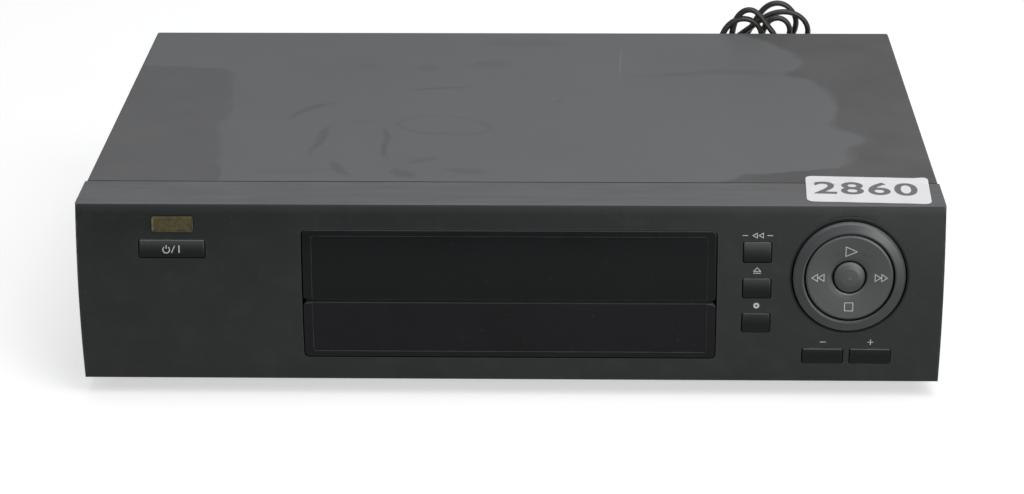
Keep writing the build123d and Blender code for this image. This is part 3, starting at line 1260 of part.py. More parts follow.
CORD_LEAD = [
    (CORD_X, SLEEVE_END_Y, CORD_Z),
    (CORD_X, SLEEVE_END_Y + 19.0, CORD_Z),
    (172.0, 181.0, 29.5),
    (154.0, 182.0, 24.0),
    behind_hank(138.0, 20.0, 17.0),
    behind_hank(138.0, 20.0, 0.0),
]
CORD_TAIL = [
    (HANK_X - HANK_WIDTH / 2, HANK_Y - 1.0, 20.0),
    (HANK_X - HANK_WIDTH / 2 - 15.5, HANK_Y - 1.0, 20.0),
    (80.0, 146.0, 11.5),
    (66.0, 148.0, PLUG_HEIGHT / 2),
    (52.0, 147.5, PLUG_HEIGHT / 2),
]


def arc_radii(points):
    """For each corner, 0.45 of the shorter run over the tangent of half the turn."""
    radii = []
    for a, b, c in zip(points, points[1:], points[2:]):
        u, v = Vector(*b) - Vector(*a), Vector(*c) - Vector(*b)
        half_turn = radians(u.get_angle(v) / 2)
        radii.append(0.45 * min(u.length, v.length) / tan(half_turn))
    return radii


def cord_tube(name, points):
    """A round cord along straight runs joined by tangent arcs."""
    radii = arc_radii(points)
    path = FilletPolyline(*points, radius=radii)
    section = Plane(origin=path @ 0, z_dir=path % 0) * Circle(CORD_WIDTH / 2)
    tube = sweep(section, path=path)
    filled = tube.volume / (pi * (CORD_WIDTH / 2) ** 2 * path.length)
    print(f"{name}: {path.length:.1f} mm, arc radii {[round(r, 1) for r in radii]}, volume ratio {filled:.4f}")
    return tube


def mains_cord_hank():
    """Outer shape of the cord wound into an upright hank, drawn in at its tie."""
    w, h = HANK_WIDTH / 2, HANK_HEIGHT
    right = [(w * 0.5, 0), (w, h * 0.1), (w, h * 0.28), (w * 0.6, h * 0.47), (w, h * 0.8), (w * 0.55, h)]
    left = [(-x, z) for x, z in reversed(right)]
    outline = make_face(Polyline(*right, *left, close=True))
    hank = extrude(Plane.XZ.offset(-HANK_THICK / 2) * outline, HANK_THICK)
    hank = fillet(hank.edges().filter_by(Axis.Y), HANK_CORNER)
    return Pos(HANK_X, HANK_Y, HANK_LIFT) * Rot(degrees(HANK_LEAN), 0, 0) * hank


def mains_plug():
    """Flat two-pin mains plug, lying on the surface, with its moulded tail on the cord."""
    length, half, tail = PLUG_LENGTH, PLUG_WIDTH / 2, CORD_WIDTH / 2 + 1.2
    outline = make_face(
        Polyline((0, -tail), (9, -tail - 0.8), (18, -half), (length, -half), (length, half), (18, half),
                 (9, tail + 0.8), (0, tail), close=True)
    )
    body = Pos(0, 0, -PLUG_HEIGHT / 2) * extrude(outline, PLUG_HEIGHT)
    body = fillet(body.edges().filter_by(Axis.Z), 2.0)
    body = fillet(body.edges().group_by(Axis.Z)[-1], 1.8)
    for side in (-1, 1):
        reach = PLUG_PIN_LENGTH + 2
        pin = Rot(0, 90, 0) * Cylinder(PLUG_PIN, reach)
        pin = fillet(pin.edges().group_by(Axis.X)[-1], 1.0)
        body += Pos(length - 2 + reach / 2, side * PLUG_PIN_SPREAD / 2, 0) * pin
    run = Vector(*CORD_TAIL[-1]) - Vector(*CORD_TAIL[-2])
    return Pos(*CORD_TAIL[-1]) * Rot(0, 0, degrees(atan2(run.Y, run.X))) * body


# ---------------------------------------------------------------- write every piece
BUTTON_NAMES = ("power", "review", "eject", "record", "channel_down", "channel_up")
PIECES = [
    fascia, tact_switches, front_board, front_board_screws, cassette_door, display_window,
    display_tube, shuttle_ring, play_disc, disc_gimbal, knob_base, pause_button,
    top_cover, cover_screws, bottom_chassis, feet, foot_pads,
    rear_panel, av_sockets, tuner_modulator, audio_jacks, cord_grip,
    main_board, main_board_parts, power_board, transformer, heat_sink, power_parts,
    deck_plate, deck_screws, deck_shafts, drum_lower, drum_upper, capstan_housing, capstan,
    pinch_arm, pinch_roller, cam_gear, loading_motor, loading_worm, tape_heads,
    cassette_holder, housing_bridge, mains_cord_hank, mains_plug,
]

os.makedirs("parts", exist_ok=True)
for make in PIECES:
    save(make.__name__, make())
for name, place in zip(BUTTON_NAMES, button_places()):
    save(f"{name}_button", button(*place))
for name, side in (("supply", -1), ("takeup", 1)):
    save(f"{name}_reel_table", reel_table(side))
    save(f"{name}_tape_guide", tape_guide(side))
for name, side in (("left", -1), ("right", 1)):
    save(f"housing_bracket_{name}", housing_bracket(side))
for name, route in (("lead", CORD_LEAD), ("tail", CORD_TAIL)):
    save(f"mains_cord_{name}", cord_tube(name, route))
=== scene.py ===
from math import cos, exp, pi, radians, sin, sqrt

import bmesh
import bpy
from mathutils import Matrix, Vector


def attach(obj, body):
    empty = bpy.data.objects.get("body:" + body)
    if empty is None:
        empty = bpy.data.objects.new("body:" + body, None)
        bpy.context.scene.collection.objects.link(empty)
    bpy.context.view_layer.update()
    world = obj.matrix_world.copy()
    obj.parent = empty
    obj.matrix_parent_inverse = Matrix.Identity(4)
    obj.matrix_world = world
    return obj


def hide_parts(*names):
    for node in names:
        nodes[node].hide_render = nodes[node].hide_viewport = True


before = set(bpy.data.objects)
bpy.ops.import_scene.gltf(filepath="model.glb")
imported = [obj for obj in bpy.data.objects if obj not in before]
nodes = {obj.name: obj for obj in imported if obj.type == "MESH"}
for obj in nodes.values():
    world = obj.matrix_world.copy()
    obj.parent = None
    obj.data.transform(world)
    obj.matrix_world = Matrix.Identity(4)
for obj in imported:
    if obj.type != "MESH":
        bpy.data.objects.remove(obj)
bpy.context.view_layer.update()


# ---------------------------------------------------------------- bottom chassis, feet and pads
# Black moulded tray that carries every board and the deck, with four round moulded feet plugged into it
# and a soft rubber pad pressed into each foot. Fine spark-eroded grain all over, a little paler on the edges.
def add_node(tree, kind, inputs=None, **settings):
    """One shader node with its settings, and its inputs as plain values or as links."""
    node = tree.nodes.new(kind)
    for name, value in settings.items():
        setattr(node, name, value)
    for name, value in (inputs or {}).items():
        if isinstance(value, bpy.types.NodeSocket):
            tree.links.new(value, node.inputs[name])
        else:
            node.inputs[name].default_value = value
    return node


def add_math(tree, operation, first, second=0.0, third=0.0, clamp=False):
    """Result of one sum on two or three values."""
    node = add_node(tree, "ShaderNodeMath", {0: first, 1: second, 2: third}, operation=operation)
    node.use_clamp = clamp
    return node.outputs[0]


def add_noise(tree, vector, scale, detail=2.0, roughness=0.5):
    """Grey value of a cloud pattern, 0 to 1."""
    values = {"Vector": vector, "Scale": scale, "Detail": detail, "Roughness": roughness}
    return add_node(tree, "ShaderNodeTexNoise", values).outputs[0]


def mix_colour(tree, share, first, second):
    """One colour blended into another."""
    node = add_node(tree, "ShaderNodeMix", data_type="RGBA")
    for slot, value in ((0, share), (6, first), (7, second)):
        if isinstance(value, bpy.types.NodeSocket):
            tree.links.new(value, node.inputs[slot])
        else:
            node.inputs[slot].default_value = (*value, 1.0) if isinstance(value, tuple) else value
    return node.outputs[2]


def start_finish(name):
    """A new material with its node tree and its shader."""
    material = bpy.data.materials.new(name)
    material.use_nodes = True
    return material, material.node_tree, material.node_tree.nodes["Principled BSDF"]


def add_bump(tree, shader, height, distance, strength):
    """Fine relief on a finish: its full depth in metres, and how strongly it shows."""
    values = {"Height": height, "Distance": distance, "Strength": strength}
    tree.links.new(add_node(tree, "ShaderNodeBump", values).outputs[0], shader.inputs["Normal"])


def start_group(name, inputs, outputs):
    """An empty node group with named number sockets."""
    group = bpy.data.node_groups.new(name, "ShaderNodeTree")
    for title, value in inputs:
        group.interface.new_socket(title, in_out="INPUT", socket_type="NodeSocketFloat").default_value = value
    for title in outputs:
        group.interface.new_socket(title, in_out="OUTPUT", socket_type="NodeSocketFloat")
    return group, group.nodes.new("NodeGroupInput"), group.nodes.new("NodeGroupOutput")


# grain of a moulding or a paint film: a fine bump, and a broad uneven tone from handling
surface_grain, taken, given = start_group(
    "surface_grain", [("Grain Scale", 2600.0), ("Cloud Scale", 22.0)], ["Height", "Cloud", "Specks"]
)
place = add_node(surface_grain, "ShaderNodeTexCoord").outputs["Object"]
fine = add_noise(surface_grain, place, taken.outputs["Grain Scale"], 2.0, 0.6)
surface_grain.links.new(fine, given.inputs["Height"])
cloud = add_noise(surface_grain, place, taken.outputs["Cloud Scale"], 4.0, 0.62)
cloud = add_math(surface_grain, "MULTIPLY_ADD", cloud, 2.4, -0.7, clamp=True)
surface_grain.links.new(cloud, given.inputs["Cloud"])
speck = add_noise(surface_grain, place, 900.0, 1.0, 0.5)
speck = add_math(surface_grain, "MULTIPLY_ADD", speck, 14.0, -10.2, clamp=True)
surface_grain.links.new(speck, given.inputs["Specks"])

# worn edge: where the surface turns sharply, broken up by rubbing
worn_edge, taken, given = start_group("worn_edge", [("Width", 0.0006), ("Amount", 1.0)], ["Edge"])
rounded = add_node(worn_edge, "ShaderNodeBevel", {"Radius": taken.outputs["Width"]}, samples=4).outputs[0]
true_normal = add_node(worn_edge, "ShaderNodeNewGeometry").outputs["Normal"]
facing = add_node(worn_edge, "ShaderNodeVectorMath", {0: rounded, 1: true_normal}, operation="DOT_PRODUCT")
turned_away = add_math(worn_edge, "SUBTRACT", 1.0, facing.outputs["Value"])
place = add_node(worn_edge, "ShaderNodeTexCoord").outputs["Object"]
rubbed = add_math(worn_edge, "MULTIPLY_ADD", add_noise(worn_edge, place, 160.0, 3.0), 9.0, -1.0)
rubbed = add_math(worn_edge, "MULTIPLY", rubbed, taken.outputs["Amount"])
strength = add_math(worn_edge, "MULTIPLY", turned_away, rubbed, clamp=True)
worn_edge.links.new(strength, given.inputs["Edge"])


# painted shade: seams, gaps and inner corners darkened by ambient occlusion, broken up by patchy noise
recess_shade, taken, given = start_group("recess_shade", [("Reach", 0.002), ("Amount", 1.0)], ["Mask"])
around = add_node(recess_shade, "ShaderNodeAmbientOcclusion", {"Distance": taken.outputs["Reach"]}, samples=8)
open_share = around.outputs["AO"]
closed_in = add_math(recess_shade, "MULTIPLY_ADD", open_share, -1.6, 1.5, clamp=True)
place = add_node(recess_shade, "ShaderNodeTexCoord").outputs["Object"]
patchy = add_math(recess_shade, "MULTIPLY_ADD", add_noise(recess_shade, place, 210.0, 3.0), 0.8, 0.5)
patchy = add_math(recess_shade, "MULTIPLY", patchy, taken.outputs["Amount"])
painted_recess_shade = add_math(recess_shade, "MULTIPLY", closed_in, patchy, clamp=True)
recess_shade.links.new(painted_recess_shade, given.inputs["Mask"])


def add_group(tree, group, **values):
    """A group placed in a material with this material's own values."""
    node = add_node(tree, "ShaderNodeGroup", node_tree=group)
    for name, value in values.items():
        node.inputs[name.replace("_", " ").title()].default_value = value
    return node


def moulded_plastic(name, colour, roughness, grain=2600.0, depth=0.00002, wear=0.5, worn_colour=None, gloss=0.3):
    """Moulded plastic: grained, unevenly handled, and paler where its edges are rubbed."""
    material, tree, shader = start_finish(name)
    texture = add_group(tree, surface_grain, grain_scale=grain)
    edge = add_group(tree, worn_edge, amount=wear)
    darker = tuple(0.82 * c for c in colour)
    paler = worn_colour or tuple(min(1.0, 2.2 * c + 0.02) for c in colour)
    tone = mix_colour(tree, texture.outputs["Cloud"], darker, tuple(1.12 * c for c in colour))
    tree.links.new(mix_colour(tree, edge.outputs["Edge"], tone, paler), shader.inputs["Base Color"])
    shader.inputs["Specular IOR Level"].default_value = gloss
    sheen = add_math(tree, "MULTIPLY_ADD", texture.outputs["Cloud"], -0.12, roughness + 0.06)
    tree.links.new(sheen, shader.inputs["Roughness"])
    add_bump(tree, shader, texture.outputs["Height"], depth, 0.6)
    return material


def dress(material, *names):
    """Gives CAD nodes their real finish."""
    for name in names:
        data = nodes[name].data
        if not data.materials:
            data.materials.append(material)
        for number in range(len(data.materials)):
            data.materials[number] = material


dress(moulded_plastic("chassis_black", (0.022, 0.022, 0.023), 0.55, grain=1800.0, depth=0.00004), "bottom_chassis")
dress(moulded_plastic("foot_black", (0.026, 0.026, 0.027), 0.5), "feet")

pad_rubber, tree, shader = start_finish("pad_rubber_dull")
texture = add_group(tree, surface_grain, grain_scale=1200.0, cloud_scale=90.0)
dust_and_top_light = mix_colour(tree, texture.outputs["Cloud"], (0.022, 0.021, 0.020), (0.055, 0.051, 0.046))
tree.links.new(dust_and_top_light, shader.inputs["Base Color"])
shader.inputs["Roughness"].default_value = 0.85
add_bump(tree, shader, texture.outputs["Height"], 0.00008, 0.7)
dress(pad_rubber, "foot_pads")


# ---------------------------------------------------------------- front panel
# One black polystyrene moulding with a curved face, a flat strip on top and the openings for door, window,
# keys and ring. Its face is finely grained, satin from handling, and its long top edge is rubbed bright.
FACE_RADIUS = 0.210
FACE_MIDDLE_Z = 0.037
FACE_FRONT_Y = -0.133324


def face_y(z):
    """Depth of the panel's curved face at a height."""
    return FACE_FRONT_Y + FACE_RADIUS - sqrt(FACE_RADIUS ** 2 - (z - FACE_MIDDLE_Z) ** 2)


panel_black, tree, shader = start_finish("panel_black")
place = add_node(tree, "ShaderNodeTexCoord").outputs["Object"]
apart = add_node(tree, "ShaderNodeSeparateXYZ", {0: place})
texture = add_group(tree, surface_grain, grain_scale=2200.0, cloud_scale=16.0)
edge = add_group(tree, worn_edge, width=0.0011, amount=1.0)
along_top = add_math(tree, "MULTIPLY_ADD", apart.outputs[2], 700.0, -63.6, clamp=True)
# painted light: faces that point up, the flat top strip, get a far paler tone than the face, as light from above on
# the same black moulding
upward = add_node(tree, "ShaderNodeSeparateXYZ", {0: add_node(tree, "ShaderNodeNewGeometry").outputs["Normal"]})
top_strip_light = add_math(tree, "MULTIPLY_ADD", upward.outputs[2], 6.0, -4.6, clamp=True)
streaked = add_node(tree, "ShaderNodeMapping", {"Vector": place, "Scale": (0.12, 1.0, 1.0)}).outputs[0]
streaks = add_math(tree, "MULTIPLY_ADD", add_noise(tree, streaked, 240.0, 3.0), 2.4, -0.7, clamp=True)
face_tone = mix_colour(tree, texture.outputs["Cloud"], (0.0082, 0.0096, 0.0098), (0.0132, 0.0146, 0.0148))
handled = add_math(tree, "MULTIPLY_ADD", add_noise(tree, place, 75.0, 4.0, 0.65), 4.0, -2.0, clamp=True)
face_tone = mix_colour(tree, add_math(tree, "MULTIPLY", handled, 0.5), face_tone, (0.021, 0.022, 0.0215))
# painted light: the face is painted paler over its top 5 mm, just below the edge
painted_light_below_edge = add_math(tree, "MULTIPLY_ADD", apart.outputs[2], 190.0, -17.0, clamp=True)
face_tone = mix_colour(tree, add_math(tree, "MULTIPLY", painted_light_below_edge, 0.55), face_tone, (0.042, 0.044, 0.045))
lit_strip_tone = mix_colour(tree, streaks, (0.108, 0.110, 0.114), (0.130, 0.132, 0.134))
tone = mix_colour(tree, top_strip_light, face_tone, lit_strip_tone)
tone = mix_colour(tree, add_math(tree, "MULTIPLY", texture.outputs["Specks"], 0.25), tone, (0.08, 0.08, 0.075))
rubbed = add_math(tree, "MULTIPLY", edge.outputs["Edge"], add_math(tree, "MULTIPLY_ADD", along_top, 0.9, 0.1))
tone = mix_colour(tree, rubbed, tone, (0.16, 0.165, 0.165))
# painted shade: near black round the ring's opening, and in the panel's gaps and recesses by ambient occlusion
from_knob = add_node(tree, "ShaderNodeVectorMath", {0: place, 1: (0.1564, -0.131901, 0.0614)}, operation="DISTANCE")
painted_ring_shade = add_math(tree, "MULTIPLY_ADD", from_knob.outputs["Value"], -1200.0, 33.5, clamp=True)
painted_shade = add_group(tree, recess_shade, reach=0.0020, amount=1.5).outputs["Mask"]
painted_shade = add_math(tree, "MAXIMUM", painted_shade, add_math(tree, "MULTIPLY", painted_ring_shade, 0.9))
tree.links.new(mix_colour(tree, painted_shade, tone, (0.003, 0.003, 0.003)), shader.inputs["Base Color"])
shader.inputs["Specular IOR Level"].default_value = 0.21
sheen = add_math(tree, "MULTIPLY_ADD", texture.outputs["Cloud"], -0.06, 0.43)
tree.links.new(add_math(tree, "MULTIPLY_ADD", painted_shade, 0.5, sheen), shader.inputs["Roughness"])
add_bump(tree, shader, texture.outputs["Height"], 0.00003, 0.55)
dress(panel_black, "fascia")


# ---------------------------------------------------------------- badge
# Thin blank plate of gold-anodised aluminium, pressed to the panel's curve and glued above the power key.
BADGE_X = -0.1551
BADGE_Z = 0.0849
badge_half_width = 0.0096
badge_half_height = 0.0036
bpy.ops.object.select_all(action="DESELECT")
bpy.ops.mesh.primitive_grid_add(x_subdivisions=56, y_subdivisions=24, size=2.0)
badge = bpy.context.object
badge.name = "badge"
for vertex in badge.data.vertices:
    u, v = vertex.co.x, vertex.co.y
    corner_u = badge_half_width - 0.0011
    corner_v = badge_half_height - 0.0011
    x, z = u * badge_half_width, v * badge_half_height
    over_x, over_z = abs(x) - corner_u, abs(z) - corner_v
    if over_x > 0 and over_z > 0:
        reach = sqrt(over_x ** 2 + over_z ** 2)
        longest = max(over_x, over_z)
        x = (corner_u + over_x * longest / reach) * (1 if x > 0 else -1)
        z = (corner_v + over_z * longest / reach) * (1 if z > 0 else -1)
    inward = min(badge_half_width - abs(x), badge_half_height - abs(z))
    raised = 0.00022 * max(0.0, min(1.0, (0.00075 - inward) / 0.0003))
    vertex.co = Vector((BADGE_X + x, face_y(BADGE_Z + z) + 0.0001 - raised, BADGE_Z + z))
bpy.ops.object.mode_set(mode="EDIT")
bpy.ops.mesh.select_all(action="SELECT")
bpy.ops.mesh.normals_make_consistent(inside=False)
bpy.ops.object.mode_set(mode="OBJECT")
thick = badge.modifiers.new("thickness", "SOLIDIFY")
thick.thickness = 0.0006
thick.offset = 1.0 if badge.data.polygons[0].normal.y < 0 else -1.0
soft_rim = badge.modifiers.new("rim", "BEVEL")
soft_rim.width = 0.00022
soft_rim.segments = 3
soft_rim.limit_method = "ANGLE"
soft_rim.angle_limit = radians(50)
for modifier in list(badge.modifiers):
    bpy.ops.object.modifier_apply(modifier=modifier.name)
bpy.ops.object.shade_smooth_by_angle(angle=radians(35))

badge_gold, tree, shader = start_finish("badge_gold")
place = add_node(tree, "ShaderNodeTexCoord").outputs["Object"]
brushed = add_node(tree, "ShaderNodeMapping", {"Vector": place, "Scale": (0.04, 1.0, 1.0)}).outputs[0]
lines = add_noise(tree, brushed, 9000.0, 3.0, 0.7)
tarnish = add_math(tree, "MULTIPLY_ADD", add_noise(tree, place, 420.0, 4.0), 2.6, -0.8, clamp=True)
gold = mix_colour(tree, tarnish, (0.100, 0.087, 0.037), (0.052, 0.047, 0.025))
tree.links.new(gold, shader.inputs["Base Color"])
shader.inputs["Metallic"].default_value = 0.75
tree.links.new(add_math(tree, "MULTIPLY_ADD", lines, 0.25, 0.32), shader.inputs["Roughness"])
add_bump(tree, shader, lines, 0.00001, 0.4)
badge.data.materials.append(badge_gold)
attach(badge, "root")


# ---------------------------------------------------------------- cassette door
# Flap moulded in black with a polished face, hung on two pins at its top corners. Fine hairlines and
# fingerprints dull the gloss in patches.
def polished_plastic(name, colour, smears):
    """Polished black moulding: wiping hairlines and smeared patches in its gloss."""
    material, tree, shader = start_finish(name)
    place = add_node(tree, "ShaderNodeTexCoord").outputs["Object"]
    wiped = add_node(tree, "ShaderNodeMapping", {"Vector": place, "Scale": (0.06, 1.0, 1.0)}).outputs[0]
    hairlines = add_math(tree, "MULTIPLY_ADD", add_noise(tree, wiped, 2400.0, 4.0, 0.7), 5.0, -2.7, clamp=True)
    texture = add_group(tree, surface_grain, cloud_scale=smears)
    edge = add_group(tree, worn_edge, width=0.0005, amount=0.5)
    shader.inputs["Specular IOR Level"].default_value = 0.10
    tone = mix_colour(tree, texture.outputs["Cloud"], colour, tuple(1.35 * c for c in colour))
    tone = mix_colour(tree, add_math(tree, "MULTIPLY", texture.outputs["Specks"], 0.4), tone, (0.05, 0.05, 0.047))
    tone = mix_colour(tree, edge.outputs["Edge"], tone, (0.07, 0.073, 0.074))
    # painted highlight: faces that point up, such as the top bevel, are painted pale as light from above
    upright = add_node(tree, "ShaderNodeSeparateXYZ", {0: add_node(tree, "ShaderNodeNewGeometry").outputs["Normal"]})
    dust_and_top_light = add_math(tree, "POWER", add_math(tree, "MAXIMUM", upright.outputs[2], 0.0), 2.0, clamp=True)
    tree.links.new(mix_colour(tree, dust_and_top_light, tone, (0.075, 0.078, 0.080)), shader.inputs["Base Color"])
    dull = add_math(tree, "MULTIPLY_ADD", texture.outputs["Cloud"], 0.10, 0.17)
    tree.links.new(add_math(tree, "MULTIPLY_ADD", hairlines, 0.10, dull), shader.inputs["Roughness"])
    add_bump(tree, shader, hairlines, 0.000004, 0.3)
    return material


dress(polished_plastic("door_gloss", (0.0028, 0.0036, 0.0038), 30.0), "cassette_door")


# ---------------------------------------------------------------- display window and tube
# Smoked acrylic window clipped in under the door, and behind it the flat glass display tube with its grey
# phosphor and wire grids.
dress(polished_plastic("window_smoked", (0.0050, 0.0050, 0.0060), 40.0), "display_window")

tube_glass, tree, shader = start_finish("tube_grey_glass")
place = add_node(tree, "ShaderNodeTexCoord").outputs["Object"]
grid = add_node(tree, "ShaderNodeTexBrick", {
    "Vector": add_node(tree, "ShaderNodeMapping", {"Vector": place, "Rotation": (pi / 2, 0, 0)}).outputs[0],
    "Color1": (0.16, 0.18, 0.17, 1), "Color2": (0.12, 0.14, 0.13, 1), "Mortar": (0.05, 0.06, 0.06, 1),
    "Scale": 120.0, "Mortar Size": 0.03,
})
tree.links.new(grid.outputs["Color"], shader.inputs["Base Color"])
shader.inputs["Roughness"].default_value = 0.12
shader.inputs["Coat Weight"].default_value = 0.6
dress(tube_glass, "display_tube")


# ---------------------------------------------------------------- keys
# Six hollow moulded keys with softly rounded fronts, each pressing its own switch on the front board.
# The power key carries the usual standby and bar signs, printed in pale grey ink.
def lit_plastic(name, low, high, roughness, gloss, steepness=1.6):
    """Satin moulding that fingers have polished dark, painted toward a pale colour where it faces up as a painted
    highlight, and painted darker in its recesses as painted shade.
    """
    material = moulded_plastic(name, low, roughness, grain=3000.0, depth=0.00001, wear=0.3, gloss=gloss)
    tree = material.node_tree
    socket = tree.nodes["Principled BSDF"].inputs["Base Color"]
    # painted highlight: faces that point up are painted toward the pale colour, as light from above
    upright = add_node(tree, "ShaderNodeSeparateXYZ", {0: add_node(tree, "ShaderNodeNewGeometry").outputs["Normal"]})
    dust_and_top_light = add_math(tree, "POWER", add_math(tree, "MAXIMUM", upright.outputs[2], 0.0), steepness, clamp=True)
    top_lit_tone = mix_colour(tree, dust_and_top_light, socket.links[0].from_socket, high)
    painted_shade = add_group(tree, recess_shade, reach=0.0009, amount=1.1).outputs["Mask"]
    tree.links.new(mix_colour(tree, painted_shade, top_lit_tone, (0.002, 0.002, 0.002)), socket)
    return material


# the keys' up-facing fronts are painted toward pale grey as a painted highlight, and their gaps get painted shade
dress(lit_plastic("key_black", (0.0030, 0.0035, 0.0037), (0.290, 0.295, 0.298), 0.30, 0.12, 2.1),
      "power_button", "review_button", "eject_button", "record_button", "channel_down_button", "channel_up_button")

ink_grey, tree, shader = start_finish("ink_pale_grey")
place = add_node(tree, "ShaderNodeTexCoord").outputs["Object"]
thin_ink = add_math(tree, "MULTIPLY_ADD", add_noise(tree, place, 2600.0, 3.0), 2.6, -0.8, clamp=True)
tree.links.new(mix_colour(tree, thin_ink, (0.27, 0.27, 0.265), (0.47, 0.47, 0.46)), shader.inputs["Base Color"])
shader.inputs["Roughness"].default_value = 0.55


def printed_mark(name, strokes, surface, body, ink=ink_grey):
    """Ink 0.03 mm thick laid on a surface. A stroke is its points (across, up), its width, and if it closes."""
    bpy.ops.object.select_all(action="DESELECT")
    bpy.ops.mesh.primitive_circle_add(vertices=3, radius=0.001)
    mark = bpy.context.object
    mark.name = name
    bpy.ops.object.mode_set(mode="EDIT")
    bpy.ops.mesh.select_all(action="SELECT")
    bpy.ops.mesh.delete(type="VERT")
    bpy.ops.object.mode_set(mode="OBJECT")
    shape = bmesh.new()
    for corners, width, closed in strokes:
        points = []
        for first, second in zip(corners, corners[1:] + (corners[:1] if closed else [])):
            pieces = max(1, int((Vector(second) - Vector(first)).length / 0.0005))
            points += [tuple(Vector(first).lerp(Vector(second), part / pieces)) for part in range(pieces)]
        if not closed:
            points.append(corners[-1])
        count = len(points)
        rows = []
        for number, (x, z) in enumerate(points):
            before = points[number - 1] if closed or number else points[0]
            after = points[(number + 1) % count] if closed or number + 1 < count else points[-1]
            along = Vector((after[0] - before[0], after[1] - before[1])).normalized()
            across = Vector((-along.y, along.x)) * width / 2
            if closed or 0 < number < count - 1:
                first = (Vector((x, z)) - Vector(before)).normalized()
                across = across / max(0.5, abs(first.dot(along)))
            rows.append([Vector((x, z)) + across, Vector((x, z)) - across])
        low = [[shape.verts.new(surface(p.x, p.y, -0.00002)) for p in row] for row in rows]
        high = [[shape.verts.new(surface(p.x, p.y, 0.00003)) for p in row] for row in rows]
        last = count if closed else count - 1
        for number in range(last):
            following = (number + 1) % count
            a, b, c, d = low[number], low[following], high[number], high[following]
            for ring in ((c[0], c[1], d[1], d[0]), (a[1], a[0], b[0], b[1]), (a[0], c[0], d[0], b[0]),
                         (c[1], a[1], b[1], d[1])):
                shape.faces.new(ring)
        if not closed:
            shape.faces.new((low[0][0], low[0][1], high[0][1], high[0][0]))
            shape.faces.new((low[-1][1], low[-1][0], high[-1][0], high[-1][1]))
    bmesh.ops.recalc_face_normals(shape, faces=shape.faces)
    shape.to_mesh(mark.data)
    shape.free()
    mark.data.materials.append(ink)
    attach(mark, body)
    return mark


def arc_points(x, z, radius, start, end, count):
    """Points along an arc, angles in degrees from the right, going up."""
    angles = [radians(start + (end - start) * i / (count - 1)) for i in range(count)]
    return [(x + radius * cos(a), z + radius * sin(a)) for a in angles]


def on_power_key(x, z, proud):
    """A spot on the rounded front of the power key, whose middle is at 73.5 mm."""
    slope = (0.0735 - FACE_MIDDLE_Z) / FACE_RADIUS
    upright = sqrt(1 - slope ** 2)
    axis_y = face_y(0.0735) + 0.0173 * upright - 0.001 * slope
    axis_z = 0.0735 - 0.0173 * slope - 0.001 * upright
    return Vector((x, axis_y - sqrt(0.018 ** 2 - (z - axis_z) ** 2) - proud, z))


def on_panel(x, z, proud):
    """A spot on the panel's curved face."""
    slope = (z - FACE_MIDDLE_Z) / FACE_RADIUS
    return Vector((x, face_y(z) - proud * sqrt(1 - slope ** 2), z + proud * slope))


standby = [
    (arc_points(-0.1580, 0.0733, 0.00155, 130, 410, 20), 0.00050, False),
    ([(-0.1580, 0.0738), (-0.1580, 0.0753)], 0.00050, False),
    ([(-0.1556, 0.0719), (-0.1541, 0.0751)], 0.00042, False),
    ([(-0.1521, 0.0718), (-0.1521, 0.0752)], 0.00055, False),
]
printed_mark("power_signs", standby, on_power_key, "power_key")

# small signs on the panel over the other keys: two arrow heads, an open triangle over a bar, a ring, minus and plus
small_x = 0.1141
arrows = []
for x in (small_x - 0.0022, small_x + 0.0006):
    arrows.append(([(x + 0.0020, 0.0795), (x, 0.0806), (x + 0.0020, 0.0817)], 0.00032, True))
arrows.append(([(small_x + 0.0044, 0.0806), (small_x + 0.0070, 0.0806)], 0.00032, False))
arrows.append(([(small_x - 0.0070, 0.0806), (small_x - 0.0044, 0.0806)], 0.00032, False))
printed_mark("review_signs", arrows, on_panel, "root")
lift = [([(small_x - 0.0016, 0.0640), (small_x + 0.0016, 0.0640), (small_x, 0.0657)], 0.00032, True),
        ([(small_x - 0.0018, 0.0631), (small_x + 0.0018, 0.0631)], 0.00036, False)]
printed_mark("eject_signs", lift, on_panel, "root")
printed_mark("record_sign", [(arc_points(small_x, 0.0474, 0.00095, 0, 345, 24), 0.0009, True)], on_panel, "root")
printed_mark("channel_signs", [
    ([(0.1440, 0.02915), (0.1468, 0.02915)], 0.00036, False),
    ([(0.1660, 0.02915), (0.1688, 0.02915)], 0.00036, False),
    ([(0.1674, 0.02775), (0.1674, 0.03055)], 0.00036, False),
], on_panel, "root")


# ---------------------------------------------------------------- shuttle ring, play disc and pause key
# A spring-centred ring, a four-way disc that rocks on a gimbal, and a domed key in its middle, all moulded
# in satin dark grey. Their edges are a little worn, and they are painted paler where they face up: a painted
# highlight from the light above.
dress(lit_plastic("ring_satin", (0.0135, 0.0145, 0.0150), (0.095, 0.098, 0.100), 0.33, 0.40, 1.0), "shuttle_ring")
dress(lit_plastic("disc_satin", (0.019, 0.020, 0.0205), (0.190, 0.193, 0.197), 0.34, 0.38, 1.1),
      "play_disc", "pause_button")
dress(moulded_plastic("knob_base_black", (0.012, 0.012, 0.012), 0.55), "knob_base")
dress(moulded_plastic("gimbal_acetal", (0.55, 0.54, 0.50), 0.42, wear=0.1), "disc_gimbal")

KNOB_MIDDLE = Vector((0.1564, -0.131901, 0.0614))
KNOB_TILT = radians(6.672)


def on_disc(across, up, proud):
    """A spot on the disc's slightly hollow front, measured from the knob's middle."""
    out = sqrt(across ** 2 + up ** 2)
    height = 0.0011 + (out - 0.0103) * 0.06 + proud
    return KNOB_MIDDLE + Vector((across, up * sin(KNOB_TILT) - height * cos(KNOB_TILT),
                                 up * cos(KNOB_TILT) + height * sin(KNOB_TILT)))


